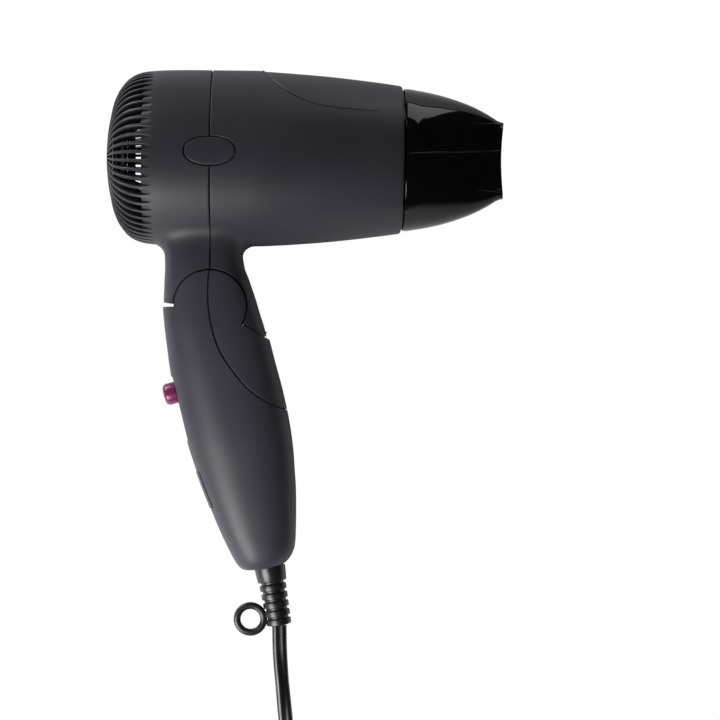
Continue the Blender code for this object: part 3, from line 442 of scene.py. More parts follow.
finish_of("heater_wire", (0.30, 0.27, 0.25), 0.38, metallic=1.0, vary=0.20, patch=500.0)
finish_of("magnet", (0.055, 0.055, 0.060), 0.62, metallic=0.2, vary=0.18, patch=500.0,
          grain=1800.0, bump=0.2)
finish_of("copper", (0.66, 0.28, 0.13), 0.32, metallic=1.0, vary=0.12, patch=700.0,
          stretch=(0.1, 1.0, 1.0), bump=0.2)
finish_of("circuit_board", (0.030, 0.130, 0.050), 0.45, vary=0.22, patch=900.0)
finish_of("capacitor_yellow", (0.66, 0.46, 0.05), 0.35, vary=0.08, patch=200.0)

# The finishes above have the names of the CAD's material slots.
for row in frame["record"]["subparts"]:
    node = frame["nodes"][row["node"]]
    node.data.materials.clear()
    node.data.materials.append(bpy.data.materials[row["material_slot"]])


# ------------------------------------------------------------------ cord

CORD_WIDTH = 6.1
CORD_CORE = 1.7
CORD_TWIST_AT = 24.0
COIL_CENTRE = (4.0, -311.0)
COIL_LAYERS = (3.75, 9.85)
COIL_IN, COIL_OUT = 28.5, 38.4
CORD_ROUTE = [
    (29.9, -193.9, 9.6), (30.2, -204.0, 8.2), (30.9, -213.6, 6.8), (31.9, -223.5, 5.3),
    (32.9, -233.0, 3.9), (33.8, -241.5, 2.6), (33.7, -249.0, 1.8), (31.6, -256.8, 1.7),
    (27.6, -263.2, 2.0), (22.3, -267.7, 2.6),
]
TAIL_ROUTE = [(46.6, -325.4, 10.8), (51.9, -321.6, 11.9), (58.8, -317.4, 13.15)]


def ease_in_out(t):
    t = min(max(t, 0.0), 1.0)
    return t * t * (3 - 2 * t)


def stepped(laps):
    """Laps counted so that most of each one keeps its radius and the last part moves over."""
    whole = int(max(laps, 0.0))
    steady = 0.74
    return whole + ease_in_out((laps - whole - steady) / (1.0 - steady))


def cord_line():
    """The cord's middle line, in the ground frame: out to the coil, round it, and to the plug.

    It winds inwards in the lower layer, climbs, and winds outwards in the upper one.
    """
    start = radians(90.0)
    turns, layer_laps = 7.61, 3.0
    pitch = (COIL_OUT - COIL_IN) / layer_laps
    low, high = COIL_LAYERS
    coil = []
    for a in np.arange(0.0, turns * 2 * pi, radians(7.5)):
        lap = a / (2 * pi)
        if lap < layer_laps + 0.3:
            radius = COIL_OUT - pitch * min(stepped(lap), layer_laps)
        else:
            radius = COIL_IN + pitch * max(0.0, layer_laps - stepped(turns - lap))
        level = low + (high - low) * ease_in_out((lap - 3.2) / 1.1)
        coil.append((*circle_point(radius, start + a, COIL_CENTRE), level))
    return through(CORD_ROUTE + coil[2:-2] + TAIL_ROUTE, 2.0)


def figure_eight():
    """The cord's section: two round cores side by side, with a web between them."""
    core, half = CORD_CORE, CORD_WIDTH / 2
    right = arc(core, -118.0, 118.0, 14, (half - core, 0.0))
    left = arc(core, 62.0, 298.0, 14, (core - half, 0.0))
    return right + left


def make_cord():
    """The flat cord: it leaves the boot in the dryer's plane and is laid in the coil on its edge."""
    line = cord_line()
    along = distances(line)
    tilt_out = Matrix.Rotation(TILT, 3, 'X') @ Vector((0.0, 0.0, 1.0))
    flat_for, turn_over, flatten_over = 42.0, 34.0, 24.0
    section = figure_eight()
    rings = []
    for k, point in enumerate(line):
        ahead, behind = line[min(k + 1, len(line) - 1)], line[max(k - 1, 0)]
        tangent = Vector(ahead - behind).normalized()
        up = tilt_out.lerp(Vector((0, 0, 1)), min(along[k] / 60.0, 1.0))
        across = tangent.cross(up).normalized()
        out = across.cross(tangent)
        lean = 0.0
        if along[k] > flat_for:
            lean = min((along[k] - flat_for) / turn_over, 1.0) * pi / 2
        left = along[-1] - along[k]
        if left < flatten_over:
            lean = pi / 2 * left / flatten_over
        lift = CORD_CORE + (CORD_WIDTH / 2 - CORD_CORE) * sin(lean) + 0.05
        point = np.array([point[0], point[1], max(point[2], lift)])
        line[k] = point
        swing = lean + 0.42 * np.exp(-((along[k] - CORD_TWIST_AT) / 9.0) ** 2)
        a = across * cos(swing) + out * sin(swing)
        b = out * cos(swing) - across * sin(swing)
        rings.append([Vector(point) + a * u + b * v for u, v in section])
    piece = solid("flat_cord", loft_part(rings))
    settle(piece, "handle", CORD_SKIN, ("mains_cord", "cord_coil", "plug_cord"), GROUND)


make_cord()


# ------------------------------------------------------------------ barrel

OUTSIDE = [
    (-44.3, 0.0), (-44.15, 4.0), (-43.5, 10.8), (-43.0, 14.2), (-42.2, 18.0), (-41.4, 21.6),
    (-40.6, 24.2),
    (-39.0, 27.7), (-37.3, 30.2), (-35.6, 32.2), (-34.0, 33.5), (-32.3, 34.5), (-28.9, 35.65),
    (-25.6, 36.15), (-20.0, 36.55), (-10.0, 36.77), (0.0, 36.77), (10.0, 36.77), (19.8, 36.72),
    (28.2, 36.3), (36.6, 35.72), (45.0, 35.04), (53.4, 34.2), (61.8, 33.2), (70.2, 32.1),
    (75.3, 31.4), (78.0, 31.0),
]
DOME_LINE = through(OUTSIDE, 0.7)
BARREL_FRONT = 79.2
RIM_RADIUS = 1.1
SEAM = 0.22
EDGE = 0.32
WALL = 2.0
LOOP = 240
FAR = 40.0


def barrel_r(x):
    """The barrel's radius at x, ahead of the dome."""
    return float(np.interp(x, DOME_LINE[:, 0], DOME_LINE[:, 1]))


def inward(outline, distance):
    """A profile moved towards the axis, square to itself."""
    line, run = np.asarray(outline, float), runs(outline)
    run /= np.linalg.norm(run, axis=1)[:, None]
    moved = line + distance * np.stack([run[:, 1], -run[:, 0]], axis=1)
    moved[:, 1] = np.maximum(moved[:, 1], 0.0)
    return moved


def layer(outline, near, far):
    """A closed profile between two depths under an outline."""
    return [tuple(p) for p in inward(outline, near)] + [tuple(p) for p in inward(outline, far)][::-1]


def barrel_profiles():
    """Closed profiles of the rear and the front half of the barrel, with eased edges."""
    back = DOME_LINE[0][0] + WALL
    rear = [tuple(p) for p in DOME_LINE if p[0] < -SEAM - EDGE - 0.2]
    r = barrel_r(0.0)
    lip = arc(EDGE, 90.0, 0.0, 4, (-SEAM - EDGE, r - EDGE))
    inside = [tuple(p) for p in inward(rear[::2], WALL) if p[1] > 0.5]
    inside = [(x, y) for x, y in inside if x > back]
    rear_profile = rear + lip + [(-SEAM, r - WALL)] + inside[::-1] + [(back, 0.0)]
    front = [tuple(p) for p in DOME_LINE if p[0] > SEAM + EDGE + 0.2]
    lip = arc(EDGE, 180.0, 90.0, 4, (SEAM + EDGE, r - EDGE))
    rim = arc(RIM_RADIUS, 80.0, -60.0, 8, (BARREL_FRONT - RIM_RADIUS, 30.95 - RIM_RADIUS))
    front = [p for p in front if p[0] < BARREL_FRONT - RIM_RADIUS]
    inside = [tuple(p) for p in inward(front[::4], WALL)]
    front_profile = lip + front + rim + inside[::-1] + [(SEAM, r - WALL)]
    return rear_profile, front_profile


# Neck and handle outlines: height against the rear edge, the front edge, half the width, roundness.
NECK_REAR = [(-80, -18.4), (-62.5, -19.8), (-52.0, -19.55), (-46.0, -19.35), (-42.0, -19.45)]
NECK_FRONT = [
    (-80, 24.9), (-76.6, 24.0), (-73.3, 23.1), (-69.9, 22.2), (-66.6, 21.1), (-63.2, 20.0),
    (-59.8, 19.0), (-56.5, 17.9), (-53.1, 16.7), (-49.8, 15.5), (-46.4, 14.1), (-42.0, 13.25)]
NECK_HALF = 18.5
NECK_POWER = 3.0
NECK_TOP = -42.0
HANDLE_REAR = [
    (-171.6, 18.5), (-171.2, 15.2), (-170.2, 13.4), (-167.1, 10.9), (-163.7, 9.0), (-157.1, 5.4),
    (-150.4, 2.1), (-143.7, -0.7), (-137.0, -3.4), (-130.3, -5.8), (-123.6, -8.1), (-116.9, -10.2),
    (-110.2, -12.1), (-103.5, -13.8), (-96.8, -15.4), (-90.1, -16.75), (-86.7, -17.3),
    (-80.0, -18.2), (-73.3, -19.1), (-66.6, -19.8), (-62.5, -20.1), (-45.0, -20.1)]
HANDLE_FRONT = [
    (-171.6, 28.0), (-171.2, 31.0), (-170.2, 32.7), (-167.1, 35.0), (-163.7, 36.1), (-160.4, 36.4),
    (-150.4, 36.55), (-143.7, 36.5), (-137.0, 36.3), (-130.3, 35.8), (-123.6, 35.3), (-116.9, 34.5),
    (-110.2, 33.4), (-103.5, 32.0), (-96.8, 30.4), (-93.4, 29.5), (-86.7, 27.6), (-80.0, 25.8),
    (-75.9, 24.7), (-70.0, 22.8), (-63.2, 20.8), (-56.0, 18.7), (-45.0, 15.5)]
HANDLE_HALF = [
    (-171.6, 7.4), (-171.2, 9.6), (-170.2, 11.2), (-167.1, 13.0), (-163.0, 14.0), (-157.1, 14.7),
    (-143.7, 15.9), (-130.3, 16.9), (-116.9, 17.8), (-103.5, 18.2), (-90.1, 18.45), (-83.0, 18.5),
    (-45.0, 18.5)]
HANDLE_POWER = [
    (-171.6, 2.2), (-157.1, 2.35), (-130.3, 2.35), (-103.5, 2.4), (-83.0, 2.6), (-66.0, 3.0),
    (-45.0, 3.0)]
SLOPE_FROM, SLOPE_END, END_SLOPE = -150.0, -171.6, 0.17
RING_COUNT = 150

SEAM_LINE = through([
    (0.0, -40.0), (-0.6, -52.0), (-0.6, -61.0), (0.6, -69.3), (4.1, -80.3), (10.5, -90.0),
    (17.6, -97.5), (24.6, -102.1), (32.4, -105.2), (44.0, -108.6), (60.0, -113.0)], 0.6)


def table(rows, y):
    rows = sorted(rows)
    return float(eased([r[0] for r in rows], [r[1] for r in rows], y))


def handle_at(y):
    """The handle's rear and front edges, half width and roundness at a height."""
    return [table(rows, y) for rows in (HANDLE_REAR, HANDLE_FRONT, HANDLE_HALF, HANDLE_POWER)]


def handle_ring(y, inset=0.0, count=RING_COUNT):
    rear, front, half, power = handle_at(y)
    slope = END_SLOPE * max(0.0, (SLOPE_FROM - y) / (SLOPE_FROM - SLOPE_END))
    middle = (rear + front) / 2
    ring = superellipse((front - rear) / 2 - inset, half - inset, power, count)
    return [(middle + u, y + slope * u, v) for u, v in ring]


def neck_ring(y, inset=0.0):
    rear, front = table(NECK_REAR, y), table(NECK_FRONT, y)
    middle = (rear + front) / 2
    ring = superellipse((front - rear) / 2 - inset, NECK_HALF - inset, NECK_POWER, RING_COUNT)
    return [(middle + u, y, v) for u, v in ring]


def side_z(x, rear, front, half, power):
    """Half the thickness of a rounded box section at x."""
    u = abs(x - (rear + front) / 2) / ((front - rear) / 2)
    return half * max(0.0, 1 - u ** power) ** (1 / power)


def handle_z(x, y):
    return side_z(x, *handle_at(y))


def neck_z(x, y):
    return side_z(x, table(NECK_REAR, y), table(NECK_FRONT, y), NECK_HALF, NECK_POWER)


def normal_at(height, x, y, sign):
    """The outward normal of a side surface given by its half thickness."""
    e = 0.15
    dx = (height(x + e, y) - height(x - e, y)) / (2 * e)
    dy = (height(x, y + e) - height(x, y - e)) / (2 * e)
    return Vector((-dx, -dy, sign)).normalized()


def neck_solid():
    """The neck, flared onto the barrel so that the two surfaces meet without a crease."""
    top = neck_ring(NECK_TOP)
    below = neck_ring(NECK_TOP - 0.5)
    middle = (table(NECK_REAR, NECK_TOP) + table(NECK_FRONT, NECK_TOP)) / 2
    feet = []
    for x, y, z in top:
        u = (x - middle) / 17.0
        side = min(1.0, abs(z) / NECK_HALF)
        fx = x - (11.5 * max(0.0, -u) ** 1.5 - 5.6 * max(0.0, u) ** 1.5)
        fz = z * (1 + 0.20 * side ** 2)
        fy = -sqrt(max(barrel_r(fx) ** 2 - fz ** 2, 1.0))
        feet.append(Vector((fx, fy, fz)))
    rings = [[(middle + (f.x - middle) * 0.8, f.y + 6.0, f.z * 0.8) for f in feet]]
    for t in [k / 16 for k in range(17)]:
        ring = []
        for foot, head, lower in zip(feet, top, below):
            head, lower = Vector(head), Vector(lower)
            gap = head - foot
            r = hypot(foot.y, foot.z)
            out = Vector((0.0, foot.y / r, foot.z / r))
            leave = gap - out * gap.dot(out)
            if leave.length < 1e-6:
                leave = Vector((0, -1, 0))
            pull = gap.length * 1.25
            leave = leave.normalized() * pull
            land = (lower - head).normalized() * pull
            h1, h2 = 2 * t ** 3 - 3 * t ** 2 + 1, t ** 3 - 2 * t ** 2 + t
            h3, h4 = -2 * t ** 3 + 3 * t ** 2, t ** 3 - t ** 2
            point = foot * h1 + leave * h2 + head * h3 + land * h4
            ring.append(tuple(point - out * 0.04 * (1 - t)))
        rings.append(ring)
    rings += [neck_ring(y) for y in steps_of(NECK_TOP - 0.9, -79.0, 0.9)]
    return solid("neck", loft_part(rings))


def block(name, outline, half=FAR):
    return solid(name, prism_part(outline, -half, half))


def both_sides(outline, near, far):
    return solid("sides", joined([prism_part(outline, near, far), prism_part(outline, -far, -near)]))


def groove_section(half, ease, depth=1.2):
    """A slot with its two upper edges eased."""
    return [(-half, -depth), (half, -depth), (half, -ease), (half + ease, 0.0), (half + ease + 0.25, 0.25),
            (-half - ease - 0.25, 0.25), (-half - ease, 0.0), (-half, -ease)]


def groove(name, points, height, half, ease, depth=1.2, closed=False):
    """A groove along side-view points, on both sides of a piece whose half thickness is given."""
    parts = []
    for sign in (1, -1):
        path = [(x, y, sign * height(x, y)) for x, y in points]
        normals = [normal_at(height, x, y, sign) for x, y in points]
        parts.append(sweep_part(path, normals, groove_section(half, ease, depth), closed))
    return solid(name, joined(parts))


def bead(name, path, thickness):
    """A thin rounded ridge along a path, with its own thickness at each point."""
    rings = []
    for k, point in enumerate(path):
        ahead, behind = path[min(k + 1, len(path) - 1)], path[max(k - 1, 0)]
        along = (Vector(ahead) - Vector(behind)).normalized()
        side = along.cross(Vector((0.0, 0.0, 1.0))).normalized()
        up = side.cross(along)
        rings.append([Vector(point) + side * u + up * v for u, v in circle(thickness[k], 10)])
    return solid(name, loft_part(rings))


# About the hinge: radii, the angles in degrees where neck and handle stop, and half widths.
KNUCKLE = 15.0
POCKET = 15.45
TONGUE = 14.0
STOP_NECK, STOP_COVER = -27.4, -28.5
REAR_NECK, REAR_HANDLE = 174.6, 180.6
TRIM_REACH = 75.0
TONGUE_HALF = 13.2
LIP_HALF = 17.0
CAP_A, CAP_B, CAP_POWER, CAP_GAP = 10.3, 5.7, 2.15, 0.42
SLOTS = 60
SLOT_TURN = radians(0.8)
SLOT_HALF = radians(2.0)
SLOT_DEPTH = 5.5
SLOT_DEEP_TO = -28.3


def barrel_side(x, y):
    return sqrt(max(barrel_r(x) ** 2 - y * y, 0.01))


def dome_slots():
    """The meridional slots of the intake: open over the dome, then fading grooves."""
    shoulder = DOME_LINE[(DOME_LINE[:, 0] > -43.45) & (DOME_LINE[:, 0] < -23.6)]
    out = shoulder - inward(shoulder, 1.0)
    parts = []
    for i in range(SLOTS):
        turn = 2 * pi * (i + 0.5) / SLOTS + SLOT_TURN
        rings = []
        for k, (x, r) in enumerate(shoulder):
            half, depth = SLOT_HALF * r, SLOT_DEPTH
            if x > SLOT_DEEP_TO:
                left = (shoulder[-1][0] - x) / (shoulder[-1][0] - SLOT_DEEP_TO)
                depth = 0.25 + 1.0 * left
                half *= 0.25 + 0.75 * left ** 0.6
            half *= min(1.0, 0.6 + 0.2 * k)
            ease = min(0.26, depth * 0.5)
            ring = []
            for side, rise in ((half, -depth), (half, -ease), (half + ease + 0.5, 0.5),
                               (-half - ease - 0.5, 0.5), (-half, -ease), (-half, -depth)):
                px, pr = x + out[k][0] * rise, r + out[k][1] * rise
                side *= pr / r if rise < -1 else 1.0
                ring.append((px, pr * cos(turn) - side * sin(turn), pr * sin(turn) + side * cos(turn)))
            rings.append(ring)
        parts.append(loft_part(rings))
    return solid("slots", joined(parts))


def dome_rings():
    """The two rings that tie the ribs together, a little below their outer edges."""
    parts = []
    for low, high, sunk in ((22.4, 24.3, 0.75), (16.2, 17.8, 0.7)):
        band = DOME_LINE[(DOME_LINE[:, 1] > low) & (DOME_LINE[:, 1] < high) & (DOME_LINE[:, 0] < -30.0)]
        parts.append(turned_part(layer(band, sunk, 2.1), LOOP))
    return solid("rings", joined(parts))


def dome_fins():
    """The ribs' inner depth, and the ring that ties their inner edges together."""
    deep = DOME_LINE[(DOME_LINE[:, 1] > 24.6) & (DOME_LINE[:, 0] < -26.5)]
    tied = DOME_LINE[(DOME_LINE[:, 1] > 24.6) & (DOME_LINE[:, 0] < -37.4)]
    made = []
    for name, band, near, far in (("fins", deep, 1.7, 4.3), ("tie", tied, 3.2, 4.4)):
        made.append(solid(name, turned_part(layer(band, near, far), LOOP)))
    return made


def neck_hollow():
    """The room inside the neck, with material kept round the pockets and behind the lip."""
    heights = (-36.0, -42.0, -50.0, -60.0, -70.0, -84.0)
    hollow = solid("hollow", loft_part([neck_ring(y, WALL) for y in heights]))
    keep = both_sides(circle(POCKET + 1.8, 96, HINGE), 11.4, 30.0)
    cut(hollow, keep)
    lip_keep = both_sides(sector(POCKET + 1.0, 44.0, STOP_NECK - 6, 80.0), LIP_HALF - 1.8, 30.0)
    cut(hollow, lip_keep)
    return hollow


def whole_neck():
    """The neck of both halves, hollowed, with its pockets, lip and lines, but not its tongue."""
    neck = neck_solid()
    hollow, lip = neck_hollow(), lip_sides()
    trim = block("trim", sector(TONGUE, TRIM_REACH, REAR_NECK, 360 + STOP_NECK))
    pockets = both_sides(circle(POCKET, 160, HINGE), TONGUE_HALF, FAR)
    knuckle_line = arc(POCKET, REAR_NECK - 2, STOP_NECK - 1, 150, HINGE)
    knuckle_edge = groove("knuckle_edge", knuckle_line, neck_z, 0.20, 0.16, 0.8)
    seam_line = [(0.0, y) for y in steps_of(-38.2, -48.0, 0.7)]
    seam_edge = groove("seam_edge", seam_line, flare_z, 0.34, 0.16, 0.8)
    cut(neck, hollow, pockets, trim, lip, knuckle_edge, seam_edge)
    return neck


def rear_neck(neck):
    """The rear half of the neck, with the tongue that the handle turns on."""
    ahead = block("ahead", rectangle(-SEAM, -110, 140, 60), 60)
    tongue = block("tongue", circle(TONGUE, 120, HINGE), TONGUE_HALF)
    tongue_trim = block("tongue_trim", rectangle(-9.0, -90.0, 9.0, -66.5))
    half = copy_of("half_neck", neck)
    cut(half, ahead)
    add(half, tongue)
    cut(half, tongue_trim)
    return half


def front_neck(neck):
    """The front half of the neck, with room for the tongue and a filled lip."""
    behind = block("behind", rectangle(-140, -110, SEAM, 60), 60)
    tongue_room = block("tongue_room", circle(TONGUE + 0.2, 120, HINGE), 14.0)
    stub = lip_sweep("lip_stub", POCKET + 0.4, -1.2, STOP_NECK - 3.2, STOP_NECK + 4.0)
    half = copy_of("half_neck", neck)
    cut(half, behind)
    cut(half, tongue_room)
    add(half, stub)
    return half


def barrel_shells():
    rear_profile, front_profile = barrel_profiles()
    neck = whole_neck()
    halves = {"rear": (rear_profile, rear_neck(neck)), "front": (front_profile, front_neck(neck))}
    oval = superellipse(CAP_A + CAP_GAP, CAP_B + CAP_GAP, CAP_POWER, 120)
    caps = both_sides(oval, BARREL_RADIUS - 1.5, 45.0)
    cap_edge = groove("cap_edge", oval, barrel_side, 0.12, 0.16, 0.7, closed=True)
    made = {}
    for side, (profile, half) in halves.items():
        made[side] = solid(side + "_casing", turned_part(profile, LOOP))
        add(made[side], half)
        cut(made[side], caps, cap_edge)
    slots, rings = dome_slots(), dome_rings()
    fins, tie = dome_fins()
    carve(made["rear"], ('UNION', fins), ('DIFFERENCE', slots), ('UNION', rings), ('UNION', tie))
    swoosh(made["front"])
    settle(made["rear"], "barrel", CHARCOAL, ("rear_shell",))
    settle(made["front"], "barrel", CHARCOAL, ("front_shell",))


def lip_sides():
    """What comes off both sides of the lip, so that the handle's cover can pass over it.

    The step is deep where the cover goes and runs out gently above it.
    """
    parts = []
    for sign in (1, -1):
        rings = []
        for degrees in steps_of(STOP_NECK - 5.0, 76.0, 2.0):
            low = LIP_HALF + (NECK_HALF + 0.1 - LIP_HALF) * ease_in_out((degrees - 53.0) / 23.0)
            corners = [(KNUCKLE, low), (31.0, low), (31.0, 40.0), (KNUCKLE, 40.0)]
            rings.append([(*circle_point(r, radians(degrees), HINGE), sign * z) for r, z in corners])
        parts.append(loft_part(rings))
    return solid("lip_sides", joined(parts))


def lip_sweep(name, inner, grow, first, last):
    """The lip's section, grown or shrunk, turned about the hinge from one angle to another."""
    angle = radians(STOP_NECK)
    outline, radius = [], inner
    while neck_z(*circle_point(radius - min(grow, 0.0), angle, HINGE)) > 3.5:
        half = min(neck_z(*circle_point(radius, angle, HINGE)), LIP_HALF)
        outline.append((radius, half + grow))
        radius += 0.5
    outline.append((radius + 0.3, 3.5 + min(grow, 0.0)))
    outline += [(r, -z) for r, z in reversed(outline)]
    rings = [[(*circle_point(r, radians(degrees), HINGE), z) for r, z in outline]
             for degrees in steps_of(first, last, 1.6)]
    return solid(name, loft_part(rings))


def flare_z(x, y):
    """Half the width of the neck at its seam, with its flare onto the barrel."""
    if y > NECK_TOP:
        t = (y - NECK_TOP) / 10.0
        return NECK_HALF + 3.8 * t * t
    return neck_z(x, y)


SWOOSH = through([(19.0, 38.6), (20.2, 36.7), (24.5, 31.9), (28.8, 27.9), (33.6, 24.4), (38.3, 22.1),
                  (43.5, 20.2), (50.1, 19.1), (57.6, 18.4), (64.2, 18.0), (69.0, 17.9)], 0.6)
SWOOSH_END = 69.0


def swoosh(shell):
    """The shallow step that sweeps down from the top of the barrel, fading forwards."""
    outline = [tuple(p) for p in SWOOSH] + [(SWOOSH_END, 60.0), (19.0, 60.0)]
    sheath = []
    for x in steps_of(12.0, 70.0, 0.8):
        fade = min(1.0, max(0.0, (SWOOSH_END - x) / 34.0))
        sheath.append((x, barrel_r(x) - 0.30 * fade ** 0.7))
    profile = sheath + [(72.0, sheath[-1][1] + 3.0), (72.0, 50.0), (12.0, 50.0)]
    cutter = solid("sheath", turned_part(profile, LOOP))
    region = block("region", outline, 60.0)
    carve(cutter, ('INTERSECT', region))
    cut(shell, cutter)
    for sign in (1, -1):
        edge = [(x, y, sign * barrel_side(x, y)) for x, y in SWOOSH if y < barrel_r(x) - 0.9]
        thickness = [0.15 + 0.33 * min(1.0, (SWOOSH_END + 0.5 - x) / 30.0) for x, y, z in edge]
        line = bead("swoosh_edge", edge, thickness)
        add(shell, line)


def side_caps():
    """The oval caps: an eased edge, then a face that follows the barrel."""
    edge = [(1.0, 1.3), (1.0, 0.42), (0.991, 0.2), (0.97, 0.06)]
    face = [(scale, 0.0) for scale in (0.93, 0.8, 0.6, 0.4, 0.2, 0.02)]
    for side, sign in (("left", 1), ("right", -1)):
        rings = []
        for scale, drop in edge + face:
            outline = superellipse(CAP_A * scale, CAP_B * scale, CAP_POWER, 120)
            rings.append([(x, y, sign * (sqrt(BARREL_RADIUS ** 2 - y * y) - drop)) for x, y in outline])
        cap = solid("seam_cap_" + side, loft_part(rings))
        settle(cap, "barrel", CHARCOAL, ("side_cap_" + side,), sharp=50.0)


# ------------------------------------------------------------------ nozzle

NOZZLE_TALL = [
    (79.75, 29.3), (80.0, 29.62), (80.4, 29.72), (82.0, 29.66), (85.4, 29.15), (88.7, 28.6),
    (95.5, 27.1), (102.2, 25.1), (109.0, 22.5), (114.0, 20.0), (117.4, 18.0), (119.1, 16.9),
    (120.8, 16.2), (122.2, 15.9)]
NOZZLE_WIDE = [
    (79.75, 29.3), (80.0, 29.62), (80.4, 29.72), (83.0, 29.5), (88.7, 27.4), (95.5, 23.6),
    (102.2, 19.0), (109.0, 14.0), (114.0, 10.6), (118.2, 8.4), (120.8, 7.6), (122.2, 7.3)]
NOZZLE_POWER = [
    (79.75, 2.0), (88.7, 2.0), (95.5, 2.1), (102.2, 2.3), (109.0, 2.6), (114.0, 2.9), (118.2, 3.2),
    (122.2, 3.5)]
NOZZLE_COUNT = 160


def nozzle_at(x):
    return [table(rows, x) for rows in (NOZZLE_TALL, NOZZLE_WIDE, NOZZLE_POWER)]


def nozzle_ring(x, inset=0.0):
    tall, wide, power = nozzle_at(x)
    return [(x, u, v) for u, v in superellipse(tall - inset, wide - inset, power, NOZZLE_COUNT)]


def nozzle_z(x, y):
    tall, wide, power = nozzle_at(x)
    return wide * max(1.0 - abs(y / tall) ** power, 0.0) ** (1 / power)


def nozzle_lines():
    """The mould's parting line and the two soft ridges that run out at the mouth."""
    parting = [(x, 0.1 + 3.6 * (x - 81.5) / 39.3) for x in steps_of(81.5, 120.2, 1.2)]
    lines = [(parting, [0.34] * len(parting))]
    for level, start in ((14.6, 107.0), (-12.9, 110.0)):
        ridge = [(x, level) for x in steps_of(start, 120.6, 0.9)]
        lines.append((ridge, [0.12 + 0.62 * (x - start) / (120.6 - start) for x, y in ridge]))
    made = []
    for points, thickness in lines:
        for sign in (1, -1):
            path = [(x, y, sign * (nozzle_z(x, y) - 0.35 * t)) for (x, y), t in zip(points, thickness)]
            made.append(bead("nozzle_line", path, thickness))
    return made


def nozzle():
    """The concentrator, from its spigot to a mouth that is hollowed a little between its lips."""
    wall, tip = 1.5, 122.0
    outer = [nozzle_ring(x) for x in [79.75, 79.85, 80.0, 80.2, 80.5] + steps_of(81.2, tip, 0.8)]
    inner = [nozzle_ring(x, wall) for x in [tip] + steps_of(119.5, 82.0, 2.5)]

    def rounds(stations):
        return [[(x, u, v) for u, v in circle(r, NOZZLE_COUNT)] for x, r in stations]

    hole = rounds(((80.4, 26.7), (74.5, 26.7)))
    spigot = rounds(((74.5, 28.0), (74.7, 28.2), (79.6, 28.2)))
    piece = solid("nozzle_body", loft_part(spigot + outer + inner + hole, closed=True))
    for line in nozzle_lines():
        add(piece, line)
    sweep = [(120.55 + 1.25 * (y / 15.9) ** 2, y) for y in steps_of(-19.0, 19.0, 1.0)]
    mouth = block("mouth", [(130.0, -19.0), (130.0, 19.0)] + sweep[::-1], 30.0)
    cut(piece, mouth)
    settle(piece, "nozzle", GLOSS, ("concentrator_nozzle",), sharp=40.0)


# ------------------------------------------------------------------ handle

SWITCH_POINT = (-14.0, -98.2)
SWITCH_SLOPE = radians(15.2)
BOOT_POINT = (25.6, -170.9)
BOOT_LEAN = radians(9.9)


def switch_frame():
    """At the knob, with X down the handle and Z out of its rear face."""
    down = Vector((sin(SWITCH_SLOPE), -cos(SWITCH_SLOPE), 0.0))
    out = Vector((-cos(SWITCH_SLOPE), -sin(SWITCH_SLOPE), 0.0))
    side = out.cross(down)
    place = Matrix.Translation((*SWITCH_POINT, 0.0))
    return place @ Matrix((down, side, out)).transposed().to_4x4()


def boot_frame():
    return facing((*BOOT_POINT, 0.0), (sin(BOOT_LEAN), -cos(BOOT_LEAN), 0.0))


def handle_core(name, inset, low, high, size):
    """A piece that follows the handle's surface, a distance inside it."""
    return solid(name, loft_part([handle_ring(y, inset, 96) for y in steps_of(low, high, size)]))


def seam_offset(distance):
    """The seam's line moved sideways, towards the front where the distance is positive."""
    run = np.gradient(SEAM_LINE, axis=0)
    run /= np.linalg.norm(run, axis=1)[:, None]
    across = np.stack([-run[:, 1], run[:, 0]], axis=1)
    return [tuple(p) for p in SEAM_LINE + across * distance]


def rear_openings():
    """The switch's recess and slot, and the hole for the cord."""
    floor = [(-60.0, -91.6), (-15.9, -91.6), (-15.35, -92.6), (-9.05, -118.2), (-9.6, -119.6),
             (-60.0, -119.6)]
    recess = block("recess", rounded(floor, 0.5, 4))
    slot = rounded(rectangle(-2.0, -1.5, 10.0, 1.5), 1.4)
    slot = solid("slot", prism_part(slot, -5.0, 5.0, switch_frame()))
    hole = [(-12.0, 0.0), (-12.0, 5.3), (4.0, 5.3), (4.0, 0.0)]
    hole = solid("cord_hole", turned_part(hole, 48, boot_frame()))
    return recess, slot, hole


def seam_ledge(*others):
    """The ledge behind the seam, so that no light comes through it."""
    ledge = handle_core("ledge", 0.75, -168.0, -50.0, 2.0)
    strip = block("strip", seam_offset(-0.8) + seam_offset(0.8)[::-1])
    room = handle_core("ledge_room", 2.5, -169.0, -46.0, 4.0)
    carve(ledge, ('INTERSECT', strip), ('DIFFERENCE', room), *[('DIFFERENCE', o) for o in others])
    return ledge


